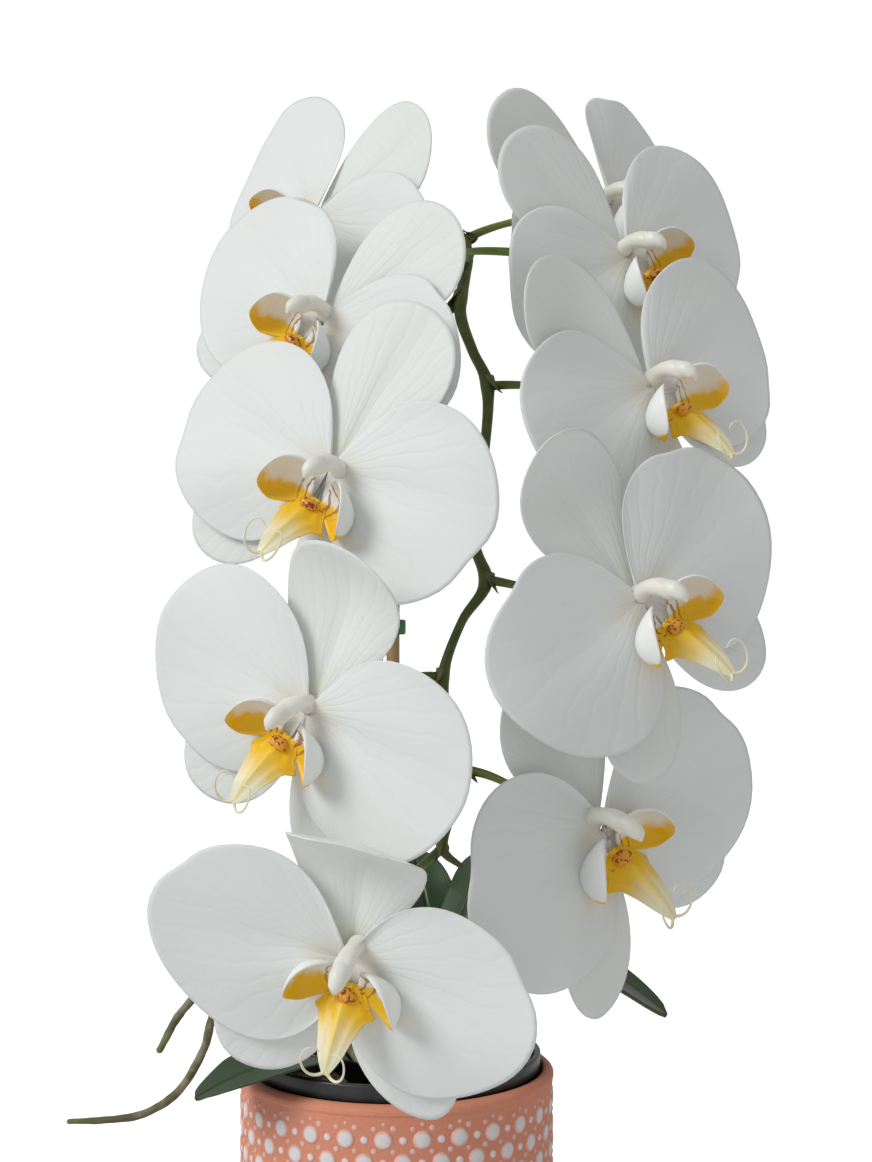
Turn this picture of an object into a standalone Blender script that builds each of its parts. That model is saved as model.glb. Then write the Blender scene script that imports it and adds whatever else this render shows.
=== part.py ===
"""A white moth orchid in a dotted terracotta cover pot, built piece by piece as the plant grew and was potted.

Every dimension is in metres, +Z is up and the flowers look towards -Y. The pot stands on z = 0 with its axis on the Z axis.
Each piece is one closed solid. Neighbouring pieces keep a gap of about 0.3 mm.
"""

import math

import bmesh
import bpy
import numpy as np

MM = 0.001

# Cover pot: a plain straight ceramic cylinder with a rounded lip.
POT_RADIUS = 60.0
POT_HEIGHT = 119.0
POT_WALL = 4.5
POT_FLOOR = 6.0
# Nursery pot: a thin tapered plastic pot whose rim stands just above the ceramic lip.
LINER_FOOT_RADIUS = 46.0
LINER_TOP_RADIUS = 53.2
LINER_RIM_RADIUS = 55.0
LINER_RIM_TOP = 125.0
LINER_RIM_HEIGHT = 6.5
LINER_WALL = 1.2
LINER_FLOOR = 1.5
# Potting bark.
BARK_TOP = 101.0
BARK_DOME = 3.0
# Bamboo stake and the clip that holds the stalk to it.
STAKE_AT = (-1.8, 15.0)
STAKE_RADIUS = 2.8
STAKE_FOOT = 60.0
STAKE_TOP = 396.0
CLIP_HEIGHT = 286.0
# Blossom parts, before each flower's own scale. x is to the flower's right, y up its face, z out of its face.
PETAL_LENGTH = 57.0
PETAL_SPREAD_UP = 68.0
PETAL_SPREAD_DOWN = 84.0
PETAL_FULLNESS = 1.6
DORSAL_LENGTH = 55.0
DORSAL_SPREAD = 42.0
LATERAL_LENGTH = 52.0
LATERAL_SPREAD = 34.5
LATERAL_ANGLE = 36.0
SEPAL_FULLNESS = 2.2
SHEET = 0.8
# Rims of the lip in the same directions, right half only: the side lobe from its lower root round its tip to the
# column, and the tongue from its root to its point.
LIP_MIDDLE = (0.0, -8.5, 3.4)
LIP_SIDE_RIM = [(6, -12.5, 4.6), (14, -14.5, 7.5), (14.5, -9, 12.5), (10.5, -2.5, 12.5), (6, 0.5, 8.5), (3.5, -3.5, 4.8)]
LIP_TONGUE_RIM = [(5.5, -14.5, 5.2), (5, -21, 9.6), (1.4, -28.4, 15.8)]
COLUMN_PATH = [(0, 3.4, 2.8), (0, 3.8, 5.8), (0, 3.4, 9.2), (0, 1.8, 12.4), (0, -0.6, 14.6)]
COLUMN_RADII = (2.5, 2.7, 3.1, 3.3, 2.3)
HOOD_OVER = 22.0

# Each flower: centre (x, y, z), then yaw, pitch and roll of its face, its scale,
# lift and swing of the left petal and of the right petal, tilt and hood of the dorsal sepal, in degrees,
# and how far up it the hood starts.
FLOWERS = {
    "left_1": ((-27, -94, 424), (-38, 8), 52, 0.99, (-2, 8), (24, -6), (6, 20, 26)),
    "left_2": ((-21, -128, 385), (-30, 9), 50, 1.00, (-12, -3), (22, -8), (8, 12, 26)),
    "left_3": ((-17, -158, 338), (-24, 7), 33, 1.03, (-8, -2), (14, -8), (-3, 8, 26)),
    "left_4": ((-22, -179, 267), (-31, -6), 29, 1.03, (0, -8), (4, -8), (-6, 45, 24)),
    "left_5": ((-11, -176, 194), (-19, -19), 14, 1.09, (2, -14), (-4, -14), (0, 68, 21)),
    "right_1": ((76, -64, 436), (43, 6), -50, 1.02, (2, 2), (-12, 12), (-12, 0, 26)),
    "right_2": ((79, -100, 412), (35, 8), -43, 1.01, (14, -8), (-16, -4), (-8, 0, 26)),
    "right_3": ((82, -128, 366), (35, 10), -39, 1.03, (14, -9), (-8, -7), (-16, 22, 26)),
    "right_4": ((75, -161, 298), (33, 9), -34, 1.06, (4, -5), (5, -8), (2, 32, 26)),
    "right_5": ((67, -150, 229), (40, 0), -35, 1.13, (12, -12), (-15, -12), (4, 22, 26)),
}

# How far each flower's column and lip sit to its right and up, and how far they are turned, in degrees.
HEARTS = {
    "left_2": (-1.0, 0.5, -12.0),
    "left_3": (2.9, -1.3, -2.0),
    "left_4": (-1.0, -1.0, 4.0),
    "left_5": (2.6, 2.4, 0.0),
    "right_3": (1.7, -1.3, 11.0),
    "right_4": (1.2, -1.4, -1.0),
    "right_5": (-2.3, 2.3, 4.0),
}

# The node of the stalk that each flower's own stem leaves, the way it sets out,
# and the way it comes in to the flower's back besides straight on.
STEM_FROM = {
    "left_1": ((15, -30, 432), (-12, -8, 4), (0, 0, 0)),
    "left_2": ((23, -70, 400), (-8, -8, -11), (3, 0, -13)),
    "left_3": ((28, -101, 319), (-14, -6, 4), (0, 0, 0)),
    "left_4": ((18, -110, 272), (-12, -4, 3), (0, 0, 0)),
    "left_5": ((18, -114, 217), (-12, -6, -8), (0, 0, 0)),
    "right_1": ((25, -55, 424), (14, -4, 8), (0, 0, 0)),
    "right_2": ((26, -62, 416), (-5, -33, 0), (-28, -22, 3)),
    "right_3": ((33, -89, 369), (16, -6, 2), (0, 0, 0)),
    "right_4": ((32, -106, 304), (14, -6, -2), (0, 0, 0)),
    "right_5": ((25, -112, 242), (14, -6, 0), (0, 0, 0)),
}

# The stalk: up beside the stake, over the arch and down in front, with its radius at each point.
STALK = [
    (-7.6, 17, 101.5, 2.6),
    (-7.6, 16, 140, 2.5),
    (-7.4, 15, 200, 2.4),
    (-7.4, 15, 286, 2.4),
    (-7.4, 14, 350, 2.3),
    (-6, 8, 400, 2.3),
    (0, -4, 422, 2.2),
    (8, -18, 431, 2.1),
    (15, -32, 432, 2.1),
    (25, -55, 424, 2.3),
    (26, -64, 412, 2.0),
    (24, -76, 396, 2.1),
    (28, -84, 382, 1.8),
    (33, -90, 369, 1.9),
    (32, -95, 348, 1.7),
    (28, -101, 319, 1.8),
    (32, -106, 303, 1.9),
    (24, -109, 290, 1.5),
    (18, -111, 272, 1.7),
    (21, -112, 255, 1.4),
    (25, -113, 242, 1.5),
    (21, -114, 228, 1.2),
    (18, -115, 217, 1.3),
    (24, -114, 211, 0.9),
]

# Each leaf: points along its midrib, the largest half width and how far its sides fold up.
LEAVES = {
    "leaf_left": ([(-12, -4, 112), (-24, -20, 125), (-38, -34, 129), (-55, -44, 126), (-71, -50, 119)], 20, 0.08),
    "leaf_front": ([(5, -8, 106), (5, -20, 114), (5, -31, 122), (5, -40, 128), (5, -46, 131)], 11, 0.30),
    "leaf_right": ([(12, 2, 118), (28, 2, 142), (50, 1, 157), (76, 0, 154), (103, -2, 138)], 19, 0.34),
    "leaf_upright": ([(8, -3, 132), (15, -3, 150), (22, -2, 168), (28, 0, 184), (32, 2, 199)], 12, 0.55),
    "leaf_back": ([(14, 14, 116), (16, 22, 140), (14, 32, 162), (10, 42, 180), (6, 54, 193)], 13, 0.40),
}
LEAF_THICK = 1.8

# Aerial roots: points and radius.
ROOTS = {
    "aerial_root_1": [
        (-9, 10, 109, 2.2),
        (-30, 22, 134, 2.1),
        (-55, 26, 152, 2.0),
        (-72, 20, 152, 1.9),
        (-79, 14, 142, 1.8),
        (-86, 10, 133, 1.8),
        (-92, 8, 122, 1.5),
    ],
    "aerial_root_2": [
        (-14, 26, 103, 2.2),
        (-36, 32, 130, 2.1),
        (-56, 24, 141, 2.0),
        (-68, 12, 143, 2.0),
        (-72, 6, 134, 1.9),
        (-75, 4, 123, 1.8),
        (-84, 2, 108, 1.8),
        (-97, 0, 100, 1.7),
        (-112, -2, 98, 1.5),
        (-125, -4, 98, 1.1),
    ],
}


def start_empty():
    for thing in list(bpy.data.objects):
        bpy.data.objects.remove(thing, do_unlink=True)


def finish_of(name, colour, roughness, metallic=0.0):
    """One finish for the pieces that share it."""
    found = bpy.data.materials.get(name)
    if found:
        return found
    made = bpy.data.materials.new(name)
    made.use_nodes = True
    shader = made.node_tree.nodes["Principled BSDF"]
    shader.inputs["Base Color"].default_value = (*colour, 1.0)
    shader.inputs["Roughness"].default_value = roughness
    shader.inputs["Metallic"].default_value = metallic
    return made


def add(name, points, faces, finish):
    """A mesh object from points in millimetres."""
    mesh = bpy.data.meshes.new(name)
    mesh.from_pydata((np.asarray(points, float) * MM).tolist(), [], [list(f) for f in faces])
    mesh.validate()
    made = bpy.data.objects.new(name, mesh)
    bpy.context.scene.collection.objects.link(made)
    made.data.materials.append(finish)
    return made


def vertex_normals(points, faces):
    corners = points[faces]
    across = np.cross(corners[:, 1] - corners[:, 0], corners[:, 2] - corners[:, 0])
    found = np.zeros_like(points)
    for i in range(3):
        np.add.at(found, faces[:, i], across)
    return found / np.maximum(1e-12, np.linalg.norm(found, axis=1, keepdims=True))


def thicken(points, faces, thick):
    """Closes an open sheet into a solid: a second skin behind it and a strip along its border."""
    points = np.asarray(points, float)
    faces = np.asarray(faces, int)
    count = len(points)
    back = points - vertex_normals(points, faces) * np.reshape(thick, (-1, 1))
    ends = np.concatenate([faces[:, [0, 1]], faces[:, [1, 2]], faces[:, [2, 0]]])
    known = {(int(a), int(b)) for a, b in ends}
    border = [(a, b) for a, b in known if (b, a) not in known]
    border.sort()
    strip = [(b, a, a + count) for a, b in border] + [(b, a + count, b + count) for a, b in border]
    both = [tuple(f) for f in faces] + [(c + count, b + count, a + count) for a, b, c in faces]
    return np.concatenate([points, back]), both + strip


def polar_faces(rings, around):
    """Triangles of a disc: point 0 in the middle, then rings of equal count."""
    found = [(0, 1 + i, 1 + (i + 1) % around) for i in range(around)]
    for r in range(rings - 1):
        a = 1 + r * around
        for i in range(around):
            j = (i + 1) % around
            found += [(a + i, a + around + i, a + around + j), (a + i, a + around + j, a + j)]
    return found


def lobe_radius(u, length, fullness, waist):
    """Reach of a rounded lobe at u from -1 to 1 across it: length times sqrt(1 - |u|^fullness), never under the waist."""
    return np.maximum(waist, length * np.sqrt(np.maximum(0.0, 1.0 - np.abs(u) ** fullness)))


def face_field(x, y, left_swing, right_swing):
    """How far the flower's face falls back at x, y: two swept wings, curving back towards their rims."""
    swing = np.where(x < 0, left_swing, right_swing)
    side = np.sqrt(x * x + 16.0) - 4.0
    return -0.0022 * x * x - 0.0012 * y * y - side * np.tan(np.radians(swing))


def turn(x, y, angle):
    a = math.radians(angle)
    return x * math.cos(a) - y * math.sin(a), x * math.sin(a) + y * math.cos(a)


def petal_pair(left, right, rings=(0.25, 0.62, 1.0), samples=11):
    """Both petals as one sheet: a wing each side, meeting in a small waist behind the column."""
    u = np.sin(np.linspace(-1, 1, samples) * math.pi / 2)
    reach = lobe_radius(u, PETAL_LENGTH, PETAL_FULLNESS, 3.6)
    angle = np.radians(u * np.where(u > 0, PETAL_SPREAD_UP, PETAL_SPREAD_DOWN))
    points = [(0.0, 0.0, 1.0)]
    for share in rings:
        for side, (lift, swing) in ((1, right), (-1, left)):
            x = share * reach * np.cos(angle) * math.cos(math.radians(swing) * 0.9)
            y = share * reach * np.sin(angle)
            x, y = turn(x, y, lift)
            x, y = (x, y) if side > 0 else (-x[::-1], y[::-1])
            z = 1.0 + face_field(x, y, left[1], right[1])
            points += list(zip(x, y, z))
    return np.array(points), polar_faces(len(rings), 2 * samples)


def hooded(y, z, hood, start):
    """Bends what lies above the start forward through an arc of this many degrees."""
    if not hood:
        return y, z
    k = math.radians(hood) / HOOD_OVER
    past = np.maximum(0.0, y - start)
    arc = np.minimum(past, HOOD_OVER)
    rest = past - arc
    turned = k * arc
    rise = np.sin(turned) / k + rest * np.cos(turned)
    fore = (1 - np.cos(turned)) / k + rest * np.sin(turned)
    return np.where(y > start, start + rise, y), z + fore


def sepal_star(left, right, dorsal, rings=(0.3, 0.7, 1.0), samples=8):
    """The dorsal and the two lateral sepals as one three-pointed sheet behind the petals."""
    u = np.sin(np.linspace(-1, 1, samples) * math.pi / 2 * 0.96)
    lobes = (
        (90.0, DORSAL_LENGTH, DORSAL_SPREAD),
        (270.0 - LATERAL_ANGLE, LATERAL_LENGTH, LATERAL_SPREAD),
        (270.0 + LATERAL_ANGLE, LATERAL_LENGTH, LATERAL_SPREAD),
    )
    points = [(0.0, 0.0, -1.4)]
    for share in rings:
        for i, (axis, length, spread) in enumerate(lobes):
            reach = share * lobe_radius(u, length, SEPAL_FULLNESS, 5.0)
            a = np.radians(axis + u * spread)
            x, y = reach * np.cos(a), reach * np.sin(a)
            across, rise = turn(x, y, -dorsal[0] if i == 0 else 0.0)
            z = -1.4 + face_field(across, rise, left[1], right[1]) - 0.02 * reach
            if i == 0:
                y, z = hooded(y, z, dorsal[1], dorsal[2])
                x, y = turn(x, y, -dorsal[0])
            points += list(zip(x, y, z))
    return np.array(points), polar_faces(len(rings), 3 * samples)


def lip_sheet(rings=(0.35, 0.7, 1.0)):
    """The lip: a side lobe that stands up each side of the column, and a tongue that reaches forward and down."""
    side = np.array(LIP_SIDE_RIM, float)
    tongue = np.array(LIP_TONGUE_RIM, float)
    mirror = np.array([-1.0, 1.0, 1.0])
    rim = np.concatenate([side, mirror * side[::-1], mirror * tongue, tongue[::-1]])
    middle = np.array(LIP_MIDDLE, float)
    points = [[middle]] + [middle + share * (rim - middle) for share in rings]
    return np.concatenate(points), polar_faces(len(rings), len(rim))


def tube(path, radii, sides, squash=1.0):
    """A closed round bar along a path, capped with a point at each end."""
    path = np.asarray(path, float)
    along = np.gradient(path, axis=0)
    along /= np.linalg.norm(along, axis=1, keepdims=True)
    up = np.array([0.31, 0.23, 0.92])
    up = up if abs(along[0] @ up) < 0.9 else np.array([1.0, 0.1, 0.0])
    rings = []
    for p, t, r in zip(path, along, radii):
        out = up - t * (up @ t)
        out /= np.linalg.norm(out)
        up = out
        over = np.cross(t, out)
        a = np.arange(sides) * 2 * math.pi / sides
        rings.append(p + r * (np.outer(np.cos(a), out) + np.outer(np.sin(a), over) * squash))
    tip_a = path[0] - along[0] * radii[0] * 0.5
    tip_b = path[-1] + along[-1] * radii[-1] * 0.5
    points = np.concatenate([[tip_a], np.concatenate(rings), [tip_b]])
    faces = [(0, 1 + (i + 1) % sides, 1 + i) for i in range(sides)]
    for r in range(len(rings) - 1):
        a = 1 + r * sides
        for i in range(sides):
            j = (i + 1) % sides
            faces += [(a + i, a + j, a + sides + j), (a + i, a + sides + j, a + sides + i)]
    a = 1 + (len(rings) - 1) * sides
    end = len(points) - 1
    faces += [(a + i, a + (i + 1) % sides, end) for i in range(sides)]
    return points, faces


def smooth_path(points, steps):
    """A Catmull-Rom curve through the points, which may carry a radius as a fourth number."""
    p = np.asarray(points, float)
    p = np.concatenate([[2 * p[0] - p[1]], p, [2 * p[-1] - p[-2]]])
    found = []
    for i in range(1, len(p) - 2):
        for k in range(steps):
            t = k / steps
            a, b, c, d = p[i - 1 : i + 3]
            found.append(0.5 * (2 * b + (c - a) * t + (2 * a - 5 * b + 4 * c - d) * t**2 + (3 * b - a - 3 * c + d) * t**3))
    found.append(p[-2])
    return np.array(found)


def bezier(a, b, c, d, steps):
    t = np.linspace(0, 1, steps)[:, None]
    return (1 - t) ** 3 * a + 3 * (1 - t) ** 2 * t * b + 3 * (1 - t) * t * t * c + t**3 * d


def face_axes(aim, roll):
    """Rows: the flower's own right, up and outward directions in the world."""
    yaw, pitch, roll = math.radians(aim[0]), math.radians(aim[1]), math.radians(roll)
    out = np.array([math.sin(yaw) * math.cos(pitch), -math.cos(yaw) * math.cos(pitch), math.sin(pitch)])
    level = np.array([math.cos(yaw), math.sin(yaw), 0.0])
    rise = np.cross(out, level)
    right = level * math.cos(roll) - rise * math.sin(roll)
    return np.array([right, rise * math.cos(roll) + level * math.sin(roll), out])


def place(points, centre, aim, roll, scale):
    return np.array(centre, float) + (np.asarray(points) * scale) @ face_axes(aim, roll)


def build_flower(name, spec):
    centre, aim, roll, scale, left, right, dorsal = spec
    sideways, upward, twist = HEARTS.get(name, (0.0, 0.0, 0.0))
    heart = place([sideways, upward, 0.0], centre, aim, roll, scale)
    white = finish_of("petal_white", (0.90, 0.91, 0.88), 0.55)
    yellow = finish_of("lip_yellow", (0.85, 0.60, 0.10), 0.5)
    cream = finish_of("column_cream", (0.88, 0.86, 0.76), 0.5)
    points, faces = thicken(*petal_pair(left, right), SHEET)
    add(f"flower_{name}_petals", place(points, centre, aim, roll, scale), faces, white)
    points, faces = thicken(*sepal_star(left, right, dorsal), SHEET)
    add(f"flower_{name}_sepals", place(points, centre, aim, roll, scale), faces, white)
    points, faces = thicken(*lip_sheet(), SHEET)
    add(f"flower_{name}_lip", place(points, heart, aim, roll + twist, scale), faces, yellow)
    points, faces = tube(COLUMN_PATH, COLUMN_RADII, 8)
    add(f"flower_{name}_column", place(points, heart, aim, roll + twist, scale), faces, cream)


def stem_path(name, steps=9):
    """From the stalk's node to just behind the middle of the flower."""
    centre, aim, roll = FLOWERS[name][:3]
    start, way, come = (np.array(v, float) for v in STEM_FROM[name])
    out = face_axes(aim, roll)[2]
    end = np.array(centre, float) - out * 4.8
    return bezier(start, start + way, end - out * 18.0 + come, end, steps)


def build_spike():
    """The stalk with the short stem of every flower, grown as one piece."""
    green = finish_of("stalk_green", (0.10, 0.17, 0.05), 0.5)
    stalk = smooth_path(STALK, 2)
    points, faces = tube(stalk[:, :3], stalk[:, 3], 7)
    spike = add("flower_spike", points, faces, green)
    helpers = bpy.data.collections.new("stems")
    bpy.context.scene.collection.children.link(helpers)
    for name in STEM_FROM:
        path = stem_path(name)
        points, faces = tube(path, np.interp(np.linspace(0, 1, len(path)), [0, 0.3, 0.7, 1], [1.5, 1.25, 1.5, 2.2]), 6)
        stem = add("stem_" + name, points, faces, green)
        bpy.context.scene.collection.objects.unlink(stem)
        helpers.objects.link(stem)
        stem.hide_render = True
        stem.display_type = "WIRE"
    join = spike.modifiers.new("stems", "BOOLEAN")
    join.operation = "UNION"
    join.operand_type = "COLLECTION"
    join.collection = helpers
    join.solver = "EXACT"
    return spike


def build_leaf(name, midrib, half_width, fold):
    path = smooth_path(midrib, 2)
    count = len(path)
    along = np.gradient(path, axis=0)
    along /= np.linalg.norm(along, axis=1, keepdims=True)
    s = np.linspace(0, 1, count)
    width = half_width * (0.34 + 0.66 * np.sin(np.clip(s * 1.25, 0, 1) * math.pi / 2)) * np.sqrt(np.clip(1 - s**5, 0, 1))
    width[-1] = half_width * 0.16
    level = np.array([0.0, 0.0, 1.0])
    points = []
    for p, t, w in zip(path, along, width):
        side = np.cross(t, level)
        side /= max(1e-9, np.linalg.norm(side))
        up = np.cross(side, t)
        for c in (-1.0, -0.5, 0.0, 0.5, 1.0):
            points.append(p + side * c * w + up * (abs(c) ** 1.5) * w * fold)
    faces = []
    for i in range(count - 1):
        for j in range(4):
            a = i * 5 + j
            faces += [(a, a + 1, a + 6), (a, a + 6, a + 5)]
    points, faces = thicken(points, faces, LEAF_THICK)
    green = finish_of("leaf_green", (0.04, 0.10, 0.03), 0.35)
    add(name, points, faces, green)


def build_root(name, points):
    path = smooth_path(points, 2)
    olive = finish_of("root_olive", (0.20, 0.20, 0.13), 0.7)
    add(name, *tube(path[:, :3], path[:, 3], 7), olive)


def lathe(name, profile, segments, finish, bump=0.0):
    """Turns a closed profile of (radius, height) about the Z axis. A radius of 0 is one point on the axis."""
    points = []
    index = []
    for k, (radius, height) in enumerate(profile):
        if radius == 0:
            index.append([len(points)] * segments)
            points.append((0.0, 0.0, height))
            continue
        index.append(list(range(len(points), len(points) + segments)))
        for i in range(segments):
            a = 2 * math.pi * i / segments
            lump = bump * (math.sin(5 * a + k) + math.sin(9 * a + 2.3 * k)) if radius < 45 and bump and height > 90 else 0.0
            points.append((radius * math.cos(a), radius * math.sin(a), height + lump))
    faces = []
    for ring, other in zip(index, index[1:] + index[:1]):
        for i in range(segments):
            j = (i + 1) % segments
            for face in ((ring[i], ring[j], other[j]), (ring[i], other[j], other[i])):
                if len(set(face)) == 3:
                    faces.append(face)
    return add(name, points, faces, finish)


def build_cover_pot():
    """Outer wall from the foot up, over the rounded lip, down inside and across the floor."""
    r, h = POT_RADIUS, POT_HEIGHT
    inner = r - POT_WALL
    profile = [(0, 0), (r - 3.0, 0), (r - 0.8, 0.8), (r, 3.0), (r, h - 2.4), (r - 0.7, h - 0.7), (r - 2.25, h)]
    profile += [(inner + 0.7, h - 0.7), (inner, h - 2.4), (inner, POT_FLOOR + 3.0), (inner - 3.0, POT_FLOOR), (0, POT_FLOOR)]
    clay = finish_of("terracotta", (0.52, 0.22, 0.13), 0.75)
    lathe("cover_pot", profile, 48, clay)


def liner_radius(z):
    foot = POT_FLOOR + 0.3
    return LINER_FOOT_RADIUS + (LINER_TOP_RADIUS - LINER_FOOT_RADIUS) * (z - foot) / (LINER_RIM_TOP - foot)


def build_nursery_pot():
    foot = POT_FLOOR + 0.3
    top = LINER_RIM_TOP
    under = top - LINER_RIM_HEIGHT
    rim = LINER_RIM_RADIUS
    profile = [(0, foot), (liner_radius(foot) - 1.5, foot), (liner_radius(foot), foot + 1.5), (liner_radius(under), under)]
    profile += [(rim - 0.2, under), (rim, under + 0.4), (rim, top - 0.6), (rim - 0.6, top), (rim - 2.4, top)]
    profile += [(rim - 2.8, top - 0.6), (liner_radius(under) - LINER_WALL, under - 2.0)]
    profile += [(liner_radius(foot) - LINER_WALL, foot + LINER_FLOOR), (0, foot + LINER_FLOOR)]
    plastic = finish_of("nursery_plastic", (0.035, 0.037, 0.04), 0.45)
    lathe("nursery_pot", profile, 40, plastic)


def build_bark():
    low = POT_FLOOR + 0.3 + LINER_FLOOR + 0.3
    gap = LINER_WALL + 0.6
    profile = [(0, low), (liner_radius(low) - gap, low), (liner_radius(BARK_TOP) - gap, BARK_TOP - 1.0)]
    profile += [(40, BARK_TOP), (30, BARK_TOP - 1), (18, BARK_TOP - 2), (0, BARK_TOP - 2)]
    bark = finish_of("bark_brown", (0.045, 0.028, 0.018), 0.9)
    made = lathe("bark_medium", profile, 32, bark, bump=0.5)
    x, y = STAKE_AT
    path = [(x, y, STAKE_FOOT - 0.4), (x, y, BARK_TOP + 20)]
    cutter = add("stake_hole", *tube(path, (STAKE_RADIUS + 0.35,) * 2, 16), bark)
    cutter.hide_render = True
    cutter.display_type = "WIRE"
    cut = made.modifiers.new("stake hole", "BOOLEAN")
    cut.operation = "DIFFERENCE"
    cut.object = cutter
    cut.solver = "EXACT"


def build_crown():
    """The short stem that the leaves clasp."""
    path = [(0, 3, 104.0), (0, 3, 108), (0, 3, 113), (1, 3, 121), (1, 3, 128), (1, 3, 133)]
    olive = finish_of("crown_olive", (0.10, 0.13, 0.05), 0.6)
    add("plant_crown", *tube(path, (6.0, 7.5, 7.2, 6.2, 4.6, 2.2), 12), olive)


def build_stake():
    """A bamboo cane with its joints."""
    x, y = STAKE_AT
    heights = [STAKE_FOOT, STAKE_FOOT + 2]
    radii = [STAKE_RADIUS * 0.8, STAKE_RADIUS * 0.95]
    for joint in (142.0, 218.0, 312.0):
        heights += [joint - 2.5, joint, joint + 2.5]
        radii += [STAKE_RADIUS * 0.95, STAKE_RADIUS, STAKE_RADIUS * 0.95]
    heights += [STAKE_TOP - 1.0, STAKE_TOP]
    radii += [STAKE_RADIUS * 0.95, STAKE_RADIUS * 0.8]
    tan = finish_of("bamboo", (0.48, 0.30, 0.15), 0.6)
    add("bamboo_stake", *tube([(x, y, z) for z in heights], radii, 12), tan)


def build_clip():
    """A spring clip round stake and stalk: an oval band with a pair of finger tabs at the back."""
    count = 28
    middle = np.array([-4.6, 15.0])
    points = []
    for z in (CLIP_HEIGHT - 3.0, CLIP_HEIGHT + 3.0):
        for i in range(count):
            a = 2 * math.pi * i / count
            points.append((middle[0] + 6.7 * math.cos(a), middle[1] + 4.0 * math.sin(a), z))
        for i in range(count):
            a = 2 * math.pi * i / count
            tab = 5.0 if i in (count // 4 - 2, count // 4 - 1, count // 4 + 1, count // 4 + 2) else 0.0
            points.append((middle[0] + (7.8 + tab) * math.cos(a), middle[1] + (5.1 + tab * 0.6) * math.sin(a), z))
    faces = []
    for i in range(count):
        j = (i + 1) % count
        inner_low, inner_low_j, outer_low, outer_low_j = i, j, count + i, count + j
        inner_top, inner_top_j = 2 * count + i, 2 * count + j
        outer_top, outer_top_j = 3 * count + i, 3 * count + j
        faces += [(inner_low, inner_low_j, outer_low_j), (inner_low, outer_low_j, outer_low)]
        faces += [(inner_top, outer_top_j, inner_top_j), (inner_top, outer_top, outer_top_j)]
        faces += [(outer_low, outer_low_j, outer_top_j), (outer_low, outer_top_j, outer_top)]
        faces += [(inner_low, inner_top_j, inner_low_j), (inner_low, inner_top, inner_top_j)]
    green = finish_of("clip_green", (0.02, 0.22, 0.08), 0.4)
    add("stake_clip", points, faces, green)


def main():
    start_empty()
    build_cover_pot()
    build_nursery_pot()
    build_bark()
    build_crown()
    build_stake()
    build_clip()
    build_spike()
    for name, (midrib, half_width, fold) in LEAVES.items():
        build_leaf(name, midrib, half_width, fold)
    for name, points in ROOTS.items():
        build_root(name, points)
    for name, spec in FLOWERS.items():
        build_flower(name, spec)


main()
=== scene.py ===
"""The looks of a white moth orchid in a dotted terracotta cover pot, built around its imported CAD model.

The shape functions work in millimetres on whole arrays, and `piece` puts their points into a mesh in metres.
A grain is a pattern that follows the surface: how far across, how far along, and which side of a sheet.
"""

import math

import bpy
import numpy as np
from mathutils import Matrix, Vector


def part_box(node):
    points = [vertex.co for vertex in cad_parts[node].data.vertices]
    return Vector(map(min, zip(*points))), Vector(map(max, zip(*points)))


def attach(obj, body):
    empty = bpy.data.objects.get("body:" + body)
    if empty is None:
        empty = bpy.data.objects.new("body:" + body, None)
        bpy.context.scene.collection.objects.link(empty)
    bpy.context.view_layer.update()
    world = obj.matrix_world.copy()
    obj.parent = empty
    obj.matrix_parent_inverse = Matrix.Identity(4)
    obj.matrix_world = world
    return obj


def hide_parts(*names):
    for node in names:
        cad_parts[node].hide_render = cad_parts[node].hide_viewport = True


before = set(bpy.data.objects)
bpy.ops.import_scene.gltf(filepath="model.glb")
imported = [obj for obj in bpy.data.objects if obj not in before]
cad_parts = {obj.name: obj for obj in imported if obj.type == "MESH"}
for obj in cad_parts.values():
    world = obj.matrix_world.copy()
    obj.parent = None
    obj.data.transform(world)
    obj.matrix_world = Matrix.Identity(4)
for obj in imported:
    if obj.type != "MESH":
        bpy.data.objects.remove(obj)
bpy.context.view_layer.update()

MM = 0.001
CAMERA_AT = (0.015, -0.730, 0.304)
CAMERA_LENS = 59.0

# Blossom parts before each flower's own scale: x to the flower's right, y up its face, z out of its face.
PETAL_LENGTH, PETAL_SPREAD_UP, PETAL_SPREAD_DOWN, PETAL_FULLNESS = 57.0, 68.0, 84.0, 1.6
DORSAL_LENGTH, DORSAL_SPREAD = 55.0, 42.0
LATERAL_LENGTH, LATERAL_SPREAD, LATERAL_ANGLE = 52.0, 36.2, 36.0
DORSAL_FULLNESS, LATERAL_FULLNESS = 2.0, 1.7
HOOD_OVER = 22.0
STEM_END_BEHIND = 4.8
COLUMN_PATH = [
    (0, 2.6, 0.4, 2.9), (0, 3.6, 3.6, 2.3), (0, 3.8, 7.0, 2.4), (0, 3.0, 10.4, 2.7), (0, 1.2, 13.0, 2.7),
]

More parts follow.
